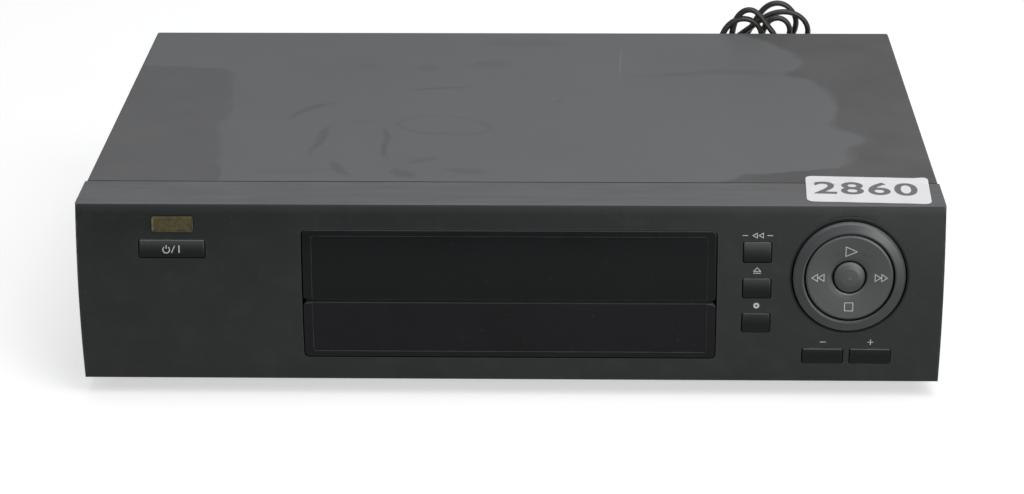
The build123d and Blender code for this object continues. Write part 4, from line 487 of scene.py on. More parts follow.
# two tiny pits beside the play sign, painted as near-black rings on the disc's face: painted shade, the pits
# themselves are not modelled; and the signs
pit_shade, tree, shader = start_finish("pit_shade")
place = add_node(tree, "ShaderNodeTexCoord").outputs["Object"]
dust = add_noise(tree, place, 4000.0, 3.0)
tree.links.new(mix_colour(tree, dust, (0.003, 0.003, 0.003), (0.009, 0.009, 0.009)), shader.inputs["Base Color"])
shader.inputs["Roughness"].default_value = 0.6
pit_shade_rings = [(arc_points(across, 0.0111, 0.00028, 0, 330, 12), 0.00050, True) for across in (-0.0058, 0.0065)]
printed_mark("disc_pit_shade", pit_shade_rings, on_disc, "disc", pit_shade)
play = [([(-0.0020, 0.0102), (-0.0020, 0.0148), (0.0031, 0.0125)], 0.00034, True)]
printed_mark("play_sign", play, on_disc, "disc")
stop = [([(-0.0019, -0.0158), (0.0019, -0.0158), (0.0019, -0.0120), (-0.0019, -0.0120)], 0.00034, True)]
printed_mark("stop_sign", stop, on_disc, "disc")
for name, side in (("rewind_signs", -1), ("forward_signs", 1)):
    heads = []
    for start in (0.0117, 0.0147):
        tip = (side * (start + 0.0026), 0.0)
        heads.append(([(side * start, 0.0017), (side * start, -0.0017), tip], 0.00032, True))
    printed_mark(name, heads, on_disc, "disc")


# ---------------------------------------------------------------- front board
# Brown phenolic board behind the panel with green resist, its push switches and the screws that hold it.
def circuit_board(name, resist, bare):
    """Printed board: resist over copper tracks and bare solder lands."""
    material, tree, shader = start_finish(name)
    place = add_node(tree, "ShaderNodeTexCoord").outputs["Object"]
    tracks = add_node(tree, "ShaderNodeTexVoronoi", {"Vector": place, "Scale": 130.0}, distance="MANHATTAN")
    track = add_math(tree, "PINGPONG", tracks.outputs["Distance"], 0.12)
    track = add_math(tree, "MULTIPLY_ADD", track, 40.0, -2.0, clamp=True)
    lands = add_node(tree, "ShaderNodeTexVoronoi", {"Vector": place, "Scale": 300.0}).outputs["Distance"]
    land = add_math(tree, "MULTIPLY_ADD", lands, -16.0, 3.4, clamp=True)
    tone = mix_colour(tree, track, resist, tuple(1.7 * c for c in resist))
    tone = mix_colour(tree, land, tone, bare)
    tree.links.new(tone, shader.inputs["Base Color"])
    tree.links.new(add_math(tree, "MULTIPLY", land, 0.8), shader.inputs["Metallic"])
    tree.links.new(add_math(tree, "MULTIPLY_ADD", land, -0.15, 0.42), shader.inputs["Roughness"])
    add_bump(tree, shader, add_math(tree, "ADD", track, land), 0.00005, 0.5)
    return material


dress(circuit_board("front_board_green", (0.022, 0.060, 0.030), (0.62, 0.60, 0.55)), "front_board")
dress(moulded_plastic("switch_black", (0.018, 0.018, 0.018), 0.45), "tact_switches")


def sheet_steel(name, colour, roughness, lines=(0.05, 1.0, 1.0), tint=(0.55, 0.52, 0.40)):
    """Plated sheet or turned steel: rolling lines, faint passivation stains and dull spots."""
    material, tree, shader = start_finish(name)
    place = add_node(tree, "ShaderNodeTexCoord").outputs["Object"]
    rolled = add_node(tree, "ShaderNodeMapping", {"Vector": place, "Scale": lines}).outputs[0]
    grain = add_noise(tree, rolled, 3000.0, 3.0, 0.65)
    stains = add_math(tree, "MULTIPLY_ADD", add_noise(tree, place, 60.0, 5.0, 0.6), 3.0, -1.2, clamp=True)
    stained = tuple(c * t * 1.7 for c, t in zip(colour, tint))
    tree.links.new(mix_colour(tree, stains, colour, stained), shader.inputs["Base Color"])
    shader.inputs["Metallic"].default_value = 1.0
    tree.links.new(add_math(tree, "MULTIPLY_ADD", grain, 0.22, roughness - 0.10), shader.inputs["Roughness"])
    add_bump(tree, shader, grain, 0.00001, 0.35)
    return material


dress(sheet_steel("board_screw_zinc", (0.62, 0.61, 0.57), 0.34), "front_board_screws")


# ---------------------------------------------------------------- boards and power supply
# Main and power boards stand on chassis posts. They carry chips, cans, a layer-wound transformer, a black
# finned heat sink, and sleeved capacitors, and the tuner's can goes through the rear panel.
dress(circuit_board("main_board_green", (0.020, 0.055, 0.028), (0.64, 0.62, 0.57)), "main_board")
dress(circuit_board("power_board_tan", (0.155, 0.095, 0.040), (0.62, 0.60, 0.55)), "power_board")
dress(moulded_plastic("chip_black", (0.020, 0.020, 0.021), 0.5, grain=5200.0), "main_board_parts")
dress(moulded_plastic("sleeve_dark", (0.018, 0.022, 0.040), 0.32, grain=900.0, depth=0.000006), "power_parts")
dress(sheet_steel("sink_anodised", (0.035, 0.035, 0.036), 0.42, tint=(0.6, 0.6, 0.6)), "heat_sink")

wound, tree, shader = start_finish("transformer_wound")
place = add_node(tree, "ShaderNodeTexCoord").outputs["Object"]
high = add_node(tree, "ShaderNodeSeparateXYZ", {0: place}).outputs[2]
tape = add_math(tree, "COMPARE", high, 0.0371, 0.0089)
layers = add_math(tree, "SINE", add_math(tree, "MULTIPLY", high, 9000.0))
wrap = mix_colour(tree, add_math(tree, "MULTIPLY_ADD", layers, 0.5, 0.5), (0.42, 0.30, 0.035), (0.52, 0.38, 0.05))
tree.links.new(mix_colour(tree, tape, (0.035, 0.035, 0.037), wrap), shader.inputs["Base Color"])
shader.inputs["Roughness"].default_value = 0.42
add_bump(tree, shader, layers, 0.00002, 0.3)
dress(wound, "transformer")


# ---------------------------------------------------------------- tape deck
# Zinc plated pressed deck with steel shafts. On it turn the polished aluminium head drum, the ground capstan,
# two acetal reel tables, the tape guides, the rubber pinch roller, and the acetal cam that a motor's worm drives.
def turned_metal(name, colour, centre, roughness, rings=1600.0, tilt=0.0):
    """Metal turned on a lathe: fine rings round its own upright axis, a few polished brighter than the rest."""
    material, tree, shader = start_finish(name)
    place = add_node(tree, "ShaderNodeTexCoord").outputs["Object"]
    values = {"Vector": place, "Location": tuple(-c for c in centre)}
    middle = add_node(tree, "ShaderNodeMapping", values)
    turned = add_node(tree, "ShaderNodeMapping", {"Vector": middle.outputs[0], "Rotation": (tilt, 0, 0)}).outputs[0]
    apart = add_node(tree, "ShaderNodeSeparateXYZ", {0: turned})
    x, y, z = apart.outputs
    out = add_math(tree, "ADD", add_math(tree, "MULTIPLY", x, x), add_math(tree, "MULTIPLY", y, y))
    out = add_math(tree, "SQRT", out)
    profile = add_node(tree, "ShaderNodeCombineXYZ", {0: out, 1: z}).outputs[0]
    cut = add_noise(tree, profile, rings, 3.0, 0.7)
    tree.links.new(mix_colour(tree, cut, tuple(0.86 * c for c in colour), colour), shader.inputs["Base Color"])
    shader.inputs["Metallic"].default_value = 1.0
    tree.links.new(add_math(tree, "MULTIPLY_ADD", cut, 0.22, roughness - 0.10), shader.inputs["Roughness"])
    add_bump(tree, shader, cut, 0.000006, 0.4)
    return material


DRUM_X, DRUM_Y, DRUM_Z = -0.004, 0.030676, 0.030
dress(sheet_steel("deck_zinc", (0.60, 0.60, 0.57), 0.38), "deck_plate")
dress(sheet_steel("deck_screw_steel", (0.55, 0.55, 0.53), 0.32), "deck_screws")
dress(turned_metal("shaft_ground", (0.70, 0.70, 0.70), (0.0, 0.0, 0.0), 0.22, 4000.0), "deck_shafts")
dress(turned_metal("drum_lower_turned", (0.72, 0.72, 0.73), (DRUM_X, DRUM_Y, DRUM_Z), 0.30, 2600.0, radians(6)),
      "drum_lower")
dress(turned_metal("drum_upper_polished", (0.80, 0.80, 0.81), (DRUM_X, DRUM_Y, DRUM_Z), 0.20, 3600.0, radians(6)),
      "drum_upper")
dress(turned_metal("capstan_bearing_brass", (0.62, 0.50, 0.26), (0.062, -0.007324, 0.0), 0.30, 1800.0),
      "capstan_housing")
dress(turned_metal("capstan_ground", (0.66, 0.66, 0.66), (0.062, -0.007324, 0.0), 0.20, 2200.0), "capstan")
dress(moulded_plastic("reel_acetal", (0.030, 0.030, 0.031), 0.38, grain=1500.0, depth=0.00001),
      "supply_reel_table", "takeup_reel_table")
dress(moulded_plastic("cam_acetal", (0.60, 0.59, 0.54), 0.40, grain=1300.0, depth=0.00001, wear=0.1), "cam_gear")
dress(moulded_plastic("guide_cream", (0.50, 0.49, 0.45), 0.38, wear=0.1), "supply_tape_guide", "takeup_tape_guide")
dress(turned_metal("worm_brass", (0.66, 0.52, 0.24), (0.084, 0.0, 0.0325), 0.28, 2400.0), "loading_worm")
dress(sheet_steel("motor_can", (0.52, 0.52, 0.50), 0.30, lines=(1.0, 0.08, 0.08)), "loading_motor")
dress(sheet_steel("lever_zinc", (0.56, 0.56, 0.53), 0.34), "pinch_arm")
dress(sheet_steel("head_shield", (0.50, 0.50, 0.50), 0.26), "tape_heads")

roller_black, tree, shader = start_finish("roller_ground_rubber")
texture = add_group(tree, surface_grain, grain_scale=5200.0, cloud_scale=140.0)
worn_shine = mix_colour(tree, texture.outputs["Cloud"], (0.014, 0.014, 0.014), (0.034, 0.032, 0.030))
tree.links.new(worn_shine, shader.inputs["Base Color"])
tree.links.new(add_math(tree, "MULTIPLY_ADD", texture.outputs["Cloud"], 0.25, 0.45), shader.inputs["Roughness"])
add_bump(tree, shader, texture.outputs["Height"], 0.00001, 0.5)
dress(roller_black, "pinch_roller")


# ---------------------------------------------------------------- cassette housing
# Pressed steel holder that runs on pins in the slots of two side brackets, tied together by a bridge.
dress(sheet_steel("holder_zinc", (0.56, 0.56, 0.53), 0.36), "cassette_holder")
dress(sheet_steel("bracket_zinc", (0.60, 0.60, 0.56), 0.40, lines=(1.0, 0.05, 1.0)),
      "housing_bracket_left", "housing_bracket_right", "housing_bridge")


# ---------------------------------------------------------------- rear panel and sockets
# Black painted steel panel. Through it come two 21-way sockets, the tuner's plated can with its aerial
# connectors, the two phono jacks, and the mains cord in its moulded grip.
rear_paint, tree, shader = start_finish("rear_panel_paint")
texture = add_group(tree, surface_grain, grain_scale=1500.0, cloud_scale=18.0)
edge = add_group(tree, worn_edge, width=0.0004, amount=0.8)
tone = mix_colour(tree, texture.outputs["Cloud"], (0.024, 0.024, 0.025), (0.034, 0.034, 0.034))
tone = mix_colour(tree, texture.outputs["Specks"], tone, (0.12, 0.12, 0.11))
tree.links.new(mix_colour(tree, edge.outputs["Edge"], tone, (0.25, 0.25, 0.24)), shader.inputs["Base Color"])
tree.links.new(add_math(tree, "MULTIPLY_ADD", texture.outputs["Cloud"], -0.1, 0.52), shader.inputs["Roughness"])
add_bump(tree, shader, texture.outputs["Height"], 0.00005, 0.6)
dress(rear_paint, "rear_panel")
dress(sheet_steel("tuner_can_tinned", (0.66, 0.66, 0.63), 0.30, lines=(0.4, 1.0, 1.0)), "tuner_modulator")
dress(moulded_plastic("socket_black", (0.020, 0.020, 0.021), 0.42, grain=3000.0), "av_sockets")

# the jacks: nickel shells round a white and a red core, in a black body
JACK_X = 0.030
JACK_MIDDLE_Z = 0.049
JACK_HALF_PITCH = 0.009
jack_body = moulded_plastic("jack_body", (0.022, 0.022, 0.022), 0.42)
tree = jack_body.node_tree
shader = tree.nodes["Principled BSDF"]
apart = add_node(tree, "ShaderNodeSeparateXYZ", {0: add_node(tree, "ShaderNodeTexCoord").outputs["Object"]})
aside = add_math(tree, "SUBTRACT", apart.outputs[0], JACK_X)
raised = add_math(tree, "SUBTRACT", apart.outputs[2], JACK_MIDDLE_Z)
from_middle = add_math(tree, "SUBTRACT", add_math(tree, "ABSOLUTE", raised), JACK_HALF_PITCH)
off_axis = add_math(tree, "MULTIPLY_ADD", from_middle, from_middle, add_math(tree, "MULTIPLY", aside, aside))
off_axis = add_math(tree, "SQRT", off_axis)
standing = add_math(tree, "GREATER_THAN", apart.outputs[1], 0.1318)
shell = add_math(tree, "MULTIPLY", add_math(tree, "COMPARE", off_axis, 0.0038, 0.0008), standing)
core = add_math(tree, "MULTIPLY", add_math(tree, "LESS_THAN", off_axis, 0.0030), standing)
core_tone = mix_colour(tree, add_math(tree, "GREATER_THAN", raised, 0.0), (0.42, 0.018, 0.014), (0.66, 0.65, 0.60))
tone = mix_colour(tree, core, shader.inputs["Base Color"].links[0].from_socket, core_tone)
tree.links.new(mix_colour(tree, shell, tone, (0.66, 0.65, 0.61)), shader.inputs["Base Color"])
tree.links.new(shell, shader.inputs["Metallic"])
dress(jack_body, "audio_jacks")
dress(moulded_plastic("grip_black", (0.018, 0.018, 0.018), 0.48, grain=2000.0), "cord_grip")
dress(moulded_plastic("plug_black", (0.020, 0.020, 0.020), 0.44, grain=2400.0), "mains_plug")


# ---------------------------------------------------------------- top cover
# Folded steel sheet with a satin dark grey film of paint, screwed to the chassis at the sides and the back.
# Its middle was wiped clean, and tide marks, a ring and dull smears are left round it.
cover_paint, tree, shader = start_finish("cover_grey_paint")
place = add_node(tree, "ShaderNodeTexCoord").outputs["Object"]
sway = add_node(tree, "ShaderNodeTexNoise", {"Vector": place, "Scale": 17.0, "Detail": 5.0, "Roughness": 0.55})
swayed = add_node(tree, "ShaderNodeVectorMath", {0: sway.outputs["Color"], 1: (0.5, 0.5, 0.5)}, operation="SUBTRACT")
swayed = add_node(tree, "ShaderNodeVectorMath", {0: swayed.outputs[0], 1: (0.030, 0.030, 0.0)}, operation="MULTIPLY")
drifted = add_node(tree, "ShaderNodeVectorMath", {0: place, 1: swayed.outputs[0]}, operation="ADD").outputs[0]
apart = add_node(tree, "ShaderNodeSeparateXYZ", {0: drifted})
across, back, high = apart.outputs
down_cover = add_math(tree, "MULTIPLY_ADD", back, 4.35, 0.435, clamp=True)


def tide_line(points):
    """Place across the cover, as -0.2 to 0.2 m, of a stain's edge at each depth from front to rear."""
    node = add_node(tree, "ShaderNodeFloatCurve", {"Value": down_cover})
    line = node.mapping.curves[0]
    for number, (y, x) in enumerate(points):
        spot = (max(0.0, min(1.0, y * 4.35 + 0.435)), max(0.0, min(1.0, x * 2.5 + 0.5)))
        if number < 2:
            line.points[number].location = spot
        else:
            line.points.new(*spot)
    node.mapping.update()
    return add_math(tree, "MULTIPLY_ADD", node.outputs[0], 0.4, -0.2)


left_edge = tide_line([(-0.097, -0.139), (0.126, -0.205), (-0.080, -0.142), (-0.020, -0.146), (0.040, -0.149),
                       (0.058, -0.150), (0.068, -0.160), (0.074, -0.200)])
right_edge = tide_line([(-0.097, 0.100), (0.126, 0.110), (-0.082, 0.122), (-0.073, 0.157), (-0.053, 0.161),
                        (-0.036, 0.170), (-0.024, 0.157), (0.0, 0.158), (0.020, 0.159), (0.049, 0.149),
                        (0.061, 0.137), (0.073, 0.147), (0.090, 0.144), (0.117, 0.127)])
left_gap = add_math(tree, "SUBTRACT", left_edge, across)
right_gap = add_math(tree, "SUBTRACT", across, right_edge)


def blot(x, y, half_width, half_depth, turned=0.0):
    """How far inside a smear the place is, above 0 inside, 0 on its edge."""
    values = {"Vector": drifted, "Location": (x, y, 0.0), "Rotation": (0, 0, turned)}
    values["Scale"] = (half_width, half_depth, 1e3)
    near = add_node(tree, "ShaderNodeMapping", values, vector_type="TEXTURE").outputs[0]
    distance = add_node(tree, "ShaderNodeVectorMath", {0: near}, operation="LENGTH").outputs["Value"]
    return add_math(tree, "SUBTRACT", 1.0, distance)


stain = add_math(tree, "MAXIMUM", left_gap, right_gap)
to_right = add_math(tree, "MULTIPLY_ADD", add_math(tree, "GREATER_THAN", across, -0.05), 0.45, 0.50)
soft_rim = add_math(tree, "MULTIPLY_ADD", add_noise(tree, place, 30.0, 3.0), 260.0, 40.0)
stained = add_math(tree, "MULTIPLY_ADD", stain, soft_rim, 0.5, clamp=True)
stained = add_math(tree, "MULTIPLY", stained, to_right)
tide = add_math(tree, "MULTIPLY_ADD", add_math(tree, "ABSOLUTE", stain), -380.0, 1.0, clamp=True)
broken = add_math(tree, "MULTIPLY_ADD", add_noise(tree, place, 46.0, 2.0), 3.2, -1.2, clamp=True)
tide = add_math(tree, "MULTIPLY", tide, broken)
ring = add_math(tree, "ABSOLUTE", blot(-0.0355, -0.020, 0.0205, 0.0150))
ring = add_math(tree, "MULTIPLY_ADD", ring, -10.0, 1.0, clamp=True)
smears = 0.0
for x, y, wide, deep, turned, depth in (
    (-0.103, 0.003, 0.0200, 0.0032, 0.83, 0.8), (-0.041, 0.034, 0.0190, 0.0016, 0.0, 1.0),
    (-0.081, 0.070, 0.0090, 0.0060, 0.0, 0.35), (-0.048, 0.068, 0.0090, 0.0070, 0.0, 0.4),
    (-0.015, 0.072, 0.0130, 0.0080, 0.2, 0.45), (0.100, 0.060, 0.0480, 0.0050, 0.0, 0.45),
    (-0.094, -0.040, 0.0030, 0.0230, -0.25, 0.8), (-0.080, -0.078, 0.0030, 0.0160, 0.45, 0.8),
    (-0.063, -0.045, 0.0022, 0.0250, 0.05, 0.9), (-0.051, -0.082, 0.0040, 0.0110, 0.7, 0.8),
    (-0.042, -0.068, 0.0110, 0.0030, 0.4, 0.6), (-0.021, -0.080, 0.0120, 0.0060, -0.2, 0.6),
    (-0.074, -0.013, 0.0110, 0.0018, 0.0, 0.5), (0.0195, 0.016, 0.0024, 0.0024, 0.0, 0.9),
    (-0.104, -0.080, 0.0240, 0.0060, 0.1, 0.35), (0.002, 0.110, 0.0250, 0.0100, 0.0, 0.40),
):
    inside = add_math(tree, "MULTIPLY_ADD", blot(x, y, wide, deep, turned), 2.2, 0.0, clamp=True)
    smears = add_math(tree, "MAXIMUM", add_math(tree, "MULTIPLY", inside, depth), smears)
drawn = add_node(tree, "ShaderNodeMapping", {
    "Vector": place, "Location": (0.0535, 0.078, 0.0), "Rotation": (0, 0, -0.03), "Scale": (0.0005, 0.030, 1e3),
}, vector_type="TEXTURE").outputs[0]
drawn = add_node(tree, "ShaderNodeVectorMath", {0: drawn}, operation="LENGTH").outputs["Value"]
scratch = add_math(tree, "MULTIPLY_ADD", drawn, -1.6, 1.6, clamp=True)
texture = add_group(tree, surface_grain, grain_scale=1900.0, cloud_scale=9.0)
mottle = add_math(tree, "MULTIPLY_ADD", add_noise(tree, place, 34.0, 5.0, 0.6), 2.0, -0.5, clamp=True)
wiped = mix_colour(tree, texture.outputs["Cloud"], (0.112, 0.115, 0.118), (0.123, 0.125, 0.127))
soiled = mix_colour(tree, mottle, (0.070, 0.069, 0.071), (0.096, 0.095, 0.097))
tone = mix_colour(tree, stained, wiped, soiled)
tone = mix_colour(tree, add_math(tree, "MULTIPLY", tide, 0.45), tone, (0.070, 0.072, 0.074))
tone = mix_colour(tree, add_math(tree, "MULTIPLY", ring, 0.35), tone, (0.070, 0.072, 0.075))
tone = mix_colour(tree, add_math(tree, "MULTIPLY", smears, 0.50), tone, (0.066, 0.068, 0.070))
tone = mix_colour(tree, add_math(tree, "MULTIPLY", scratch, 0.5), tone, (0.20, 0.20, 0.20))
tone = mix_colour(tree, add_math(tree, "MULTIPLY", texture.outputs["Specks"], 0.25), tone, (0.20, 0.20, 0.19))
edge = add_group(tree, worn_edge, width=0.0009, amount=0.3)
tone = mix_colour(tree, edge.outputs["Edge"], tone, (0.22, 0.22, 0.215))
# painted shade: the cover's seams and inner corners darkened by ambient occlusion
painted_shade = add_group(tree, recess_shade, reach=0.0026, amount=1.7).outputs["Mask"]
tree.links.new(mix_colour(tree, painted_shade, tone, (0.012, 0.012, 0.012)), shader.inputs["Base Color"])
dull = add_math(tree, "MULTIPLY_ADD", stained, 0.10, 0.42)
tree.links.new(add_math(tree, "MULTIPLY_ADD", mottle, 0.06, dull), shader.inputs["Roughness"])
add_bump(tree, shader, texture.outputs["Height"], 0.00003, 0.5)
dress(cover_paint, "top_cover")
dress(sheet_steel("cover_screw_black", (0.060, 0.060, 0.060), 0.36, tint=(0.6, 0.6, 0.6)), "cover_screws")


# ---------------------------------------------------------------- paper sticker
# White self-adhesive paper sticker with round corners, stuck across the seam at the right and printed
# with a plain number in grey.
STICKER_MIDDLE = (0.1660, -0.1054)
STICKER_TURN = radians(-2.95)
sticker_half = (0.0285, 0.0160)
sticker_corner = 0.0032
bpy.ops.object.select_all(action="DESELECT")
bpy.ops.mesh.primitive_grid_add(x_subdivisions=76, y_subdivisions=44, size=2.0)
sticker = bpy.context.object
sticker.name = "paper_sticker"
for vertex in sticker.data.vertices:
    x, y = vertex.co.x * sticker_half[0], vertex.co.y * sticker_half[1]
    over_x = abs(x) - (sticker_half[0] - sticker_corner)
    over_y = abs(y) - (sticker_half[1] - sticker_corner)
    if over_x > 0 and over_y > 0:
        shrink = max(over_x, over_y) / sqrt(over_x ** 2 + over_y ** 2)
        x -= over_x * (1 - shrink) * (1 if x > 0 else -1)
        y -= over_y * (1 - shrink) * (1 if y > 0 else -1)
    place_x = STICKER_MIDDLE[0] + x * cos(STICKER_TURN) - y * sin(STICKER_TURN)
    place_y = STICKER_MIDDLE[1] + x * sin(STICKER_TURN) + y * cos(STICKER_TURN)
    dip = 0.00022 * exp(-((place_y + 0.09684) / 0.0008) ** 2)
    corner_lift = 0.0007 * max(0.0, (x + y) / (sticker_half[0] + sticker_half[1]) - 0.86) / 0.14
    ripple = 0.00003 * sin(place_x * 420.0) * sin(place_y * 300.0 + 1.0)
    vertex.co = Vector((place_x, place_y, 0.09406 + ripple - dip + corner_lift))
thick = sticker.modifiers.new("paper", "SOLIDIFY")
thick.thickness = 0.00012
thick.offset = 1.0
bpy.ops.object.modifier_apply(modifier="paper")
bpy.ops.object.shade_smooth_by_angle(angle=radians(40))

paper_white, tree, shader = start_finish("paper_white")
place = add_node(tree, "ShaderNodeTexCoord").outputs["Object"]
fibres = add_noise(tree, place, 1400.0, 5.0, 0.7)
smudged = add_math(tree, "MULTIPLY_ADD", add_noise(tree, place, 90.0, 5.0, 0.6), 3.0, -1.35, clamp=True)
paper = mix_colour(tree, fibres, (0.685, 0.67, 0.69), (0.765, 0.75, 0.77))
tree.links.new(mix_colour(tree, add_math(tree, "MULTIPLY", smudged, 0.30), paper, (0.55, 0.52, 0.52)),
               shader.inputs["Base Color"])
shader.inputs["Roughness"].default_value = 0.72
add_bump(tree, shader, fibres, 0.00002, 0.5)
sticker.data.materials.append(paper_white)
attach(sticker, "root")

number_ink, tree, shader = start_finish("number_ink")
place = add_node(tree, "ShaderNodeTexCoord").outputs["Object"]
faded = add_math(tree, "MULTIPLY_ADD", add_noise(tree, place, 900.0, 4.0, 0.7), 2.2, -0.6, clamp=True)
tree.links.new(mix_colour(tree, faded, (0.11, 0.11, 0.125), (0.18, 0.178, 0.20)), shader.inputs["Base Color"])
shader.inputs["Roughness"].default_value = 0.6
words = bpy.data.curves.new("sticker_number", "FONT")
words.body = "2860"
words.align_x = "CENTER"
words.align_y = "CENTER"
words.size = 0.0225
words.space_character = 1.10
words.extrude = 0.000022
words.offset = 0.00038
number = bpy.data.objects.new("sticker_number", words)
bpy.context.scene.collection.objects.link(number)
bpy.ops.object.select_all(action="DESELECT")
number.select_set(True)
bpy.context.view_layer.objects.active = number
bpy.ops.object.convert(target="MESH")
number = bpy.context.object
spread = Matrix.Diagonal((1.00, 0.94, 1.0, 1.0))
seat = Matrix.Translation((STICKER_MIDDLE[0] - 0.0010, STICKER_MIDDLE[1] + 0.0004, 0.094212))
number.data.transform(seat @ Matrix.Rotation(STICKER_TURN, 4, "Z") @ spread)
number.data.materials.append(number_ink)
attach(number, "root")


# ---------------------------------------------------------------- mains cord
# Flat two-core vinyl cord, 4.9 x 3.0 mm, that leaves the grip in the rear panel. All its length is folded
# into an upright hank of five loose turns behind the recorder, where it leans on the panel.
CORD_WIDE = 0.0049
CORD_THIN = 0.0030
WAIST_X = 0.134
WAIST_Z = 0.050

lead_route = [
    (0.184, 0.147859, 0.034), (0.184, 0.166859, 0.034), (0.172, 0.181, 0.0295), (0.154, 0.182, 0.0235),
    (0.140, 0.1685, 0.0165), (0.130, 0.1565, 0.0105), (0.1195, 0.1510, 0.0150),
]
tail_route = [
    (0.1300, 0.1325, 0.0330), (0.1200, 0.1350, 0.0235), (0.1095, 0.1405, 0.0200), (0.094, 0.14355, 0.0200),
    (0.080, 0.146, 0.0115), (0.066, 0.148, 0.0068), (0.052, 0.1475, 0.0068),
]
# one row a turn, from the outermost to the one at the panel: the way (x, z) from the waist over its upper bight
# and back, how far its left and right sides lie from the middle layer, and middle, half width and foot of its
# lower bight
hank_turns = [
    ([(0.1263, 0.0579), (0.1231, 0.0669), (0.1218, 0.0771), (0.1243, 0.0862), (0.1283, 0.0928), (0.1316, 0.0990),
      (0.1356, 0.1031), (0.1405, 0.1046), (0.1455, 0.1032), (0.1491, 0.0996), (0.1513, 0.0950), (0.1512, 0.0900),
      (0.1492, 0.0850), (0.1465, 0.0775), (0.1437, 0.0679), (0.1411, 0.0590)],
     0.0098, 0.0098, (0.1345, 0.0170, 0.0050)),
    ([(0.1232, 0.0574), (0.1172, 0.0652), (0.1147, 0.0758), (0.1161, 0.0834), (0.1207, 0.0877), (0.1263, 0.0918),
      (0.1311, 0.0959), (0.1359, 0.0991), (0.1410, 0.1007), (0.1463, 0.1008), (0.1514, 0.0992), (0.1554, 0.0960),
      (0.1577, 0.0912), (0.1574, 0.0860), (0.1550, 0.0795), (0.1507, 0.0695), (0.1448, 0.0594)],
     0.0049, 0.0049, (0.1370, 0.0160, 0.0085)),
    ([(0.1291, 0.0600), (0.1304, 0.0700), (0.1312, 0.0800), (0.1318, 0.0880), (0.1334, 0.0943), (0.1368, 0.0982),
      (0.1413, 0.0990), (0.1453, 0.0968), (0.1473, 0.0928), (0.1470, 0.0880), (0.1448, 0.0825), (0.1422, 0.0750),
      (0.1404, 0.0640)],
     0.0, 0.0, (0.1315, 0.0165, 0.0060)),
    ([(0.1218, 0.0574), (0.1147, 0.0654), (0.1099, 0.0744), (0.1085, 0.0842), (0.1096, 0.0912), (0.1119, 0.0958),
      (0.1153, 0.0991), (0.1198, 0.1008), (0.1247, 0.1002), (0.1289, 0.0972), (0.1315, 0.0920), (0.1335, 0.0809),
      (0.1358, 0.0711), (0.1381, 0.0599)],
     -0.0098, -0.0049, (0.1350, 0.0150, 0.0110)),
    ([(0.1241, 0.0579), (0.1182, 0.0662), (0.1153, 0.0774), (0.1150, 0.0850), (0.1153, 0.0925), (0.1163, 0.0980),
      (0.1185, 0.1028), (0.1221, 0.1058), (0.1262, 0.1059), (0.1298, 0.1032), (0.1326, 0.0994), (0.1353, 0.0958),
      (0.1384, 0.0918), (0.1410, 0.0850), (0.1424, 0.0742), (0.1416, 0.0620)],
     -0.0049, -0.0098, (0.1325, 0.0155, 0.0070)),
]


def leaning(x, z, layer):
    """A spot in one layer of the hank, which leans on the panel."""
    return Vector((x, 0.1451 - 0.0612 * z + layer, z))


route = [Vector(p) for p in lead_route]
for number, (upper, left_layer, right_layer, (low_x, low_half, low_z)) in enumerate(hank_turns):
    route.append(leaning(WAIST_X - 0.0055, WAIST_Z, left_layer))
    for place, (x, z) in enumerate(upper):
        share = place / (len(upper) - 1)
        route.append(leaning(x, z, left_layer + (right_layer - left_layer) * share))
    route.append(leaning(WAIST_X + 0.0055, WAIST_Z, right_layer))
    if number + 1 < len(hank_turns):
        next_layer = hank_turns[number + 1][1]
        for degree in (0, -40, -75, -105, -140, -180):
            a = radians(degree)
            share = min(1.0, -degree / 150)
            layer = right_layer + (next_layer - right_layer) * share
            route.append(leaning(low_x + low_half * cos(a), low_z + 0.014 + 0.0145 * sin(a), layer))
route += [Vector(p) for p in tail_route]
curve = bpy.data.curves.new("mains_cord_route", "CURVE")
curve.dimensions = "3D"
spline = curve.splines.new("NURBS")
spline.points.add(len(route) - 1)
for point, place in zip(spline.points, route):
    point.co = (*place, 1.0)
spline.order_u = 3
spline.use_endpoint_u = True
spline.resolution_u = 10
route_object = bpy.data.objects.new("mains_cord_route", curve)
bpy.context.scene.collection.objects.link(route_object)
line_mesh = bpy.data.meshes.new_from_object(route_object)
line = [vertex.co.copy() for vertex in line_mesh.vertices]
bpy.data.objects.remove(route_object)

# the wide side lies across the run: level beside the panel, front to back in the hank
cord_rings = []
half = CORD_THIN / 2
spread = (CORD_WIDE - CORD_THIN) / 2
section = [(spread + half * cos(a), half * sin(a)) for a in (-1.2, -0.6, 0.0, 0.6, 1.2)]
section += [(0.0006, half * 0.95), (0.0, half * 0.80), (-0.0006, half * 0.95)]
section += [(-spread - half * cos(a), half * sin(a)) for a in (1.2, 0.6, 0.0, -0.6, -1.2)]
section += [(-0.0006, -half * 0.95), (0.0, -half * 0.80), (0.0006, -half * 0.95)]
cord_mesh = bmesh.new()
wide = Vector((0, 0, 1))
steps = len(line) - 1
for number, here in enumerate(line):
    ahead = (line[min(number + 1, steps)] - line[max(number - 1, 0)]).normalized()
    target = Vector((0, 0, 1)) if number < 34 else Vector((0.3, 1, -0.42))
    wanted = (target - ahead * target.dot(ahead)).normalized()
    if wanted.dot(wide) < 0:
        wanted = -wanted
    wide = (wide * 0.8 + wanted * 0.2)
    wide = (wide - ahead * wide.dot(ahead)).normalized()
    thin = ahead.cross(wide)
    cord_rings.append([cord_mesh.verts.new(here + wide * u + thin * v) for u, v in section])
for before, after in zip(cord_rings, cord_rings[1:]):
    for number in range(len(section)):
        following = (number + 1) % len(section)
        cord_mesh.faces.new((before[number], before[following], after[following], after[number]))
cord_mesh.faces.new(list(reversed(cord_rings[0])))
cord_mesh.faces.new(cord_rings[-1])
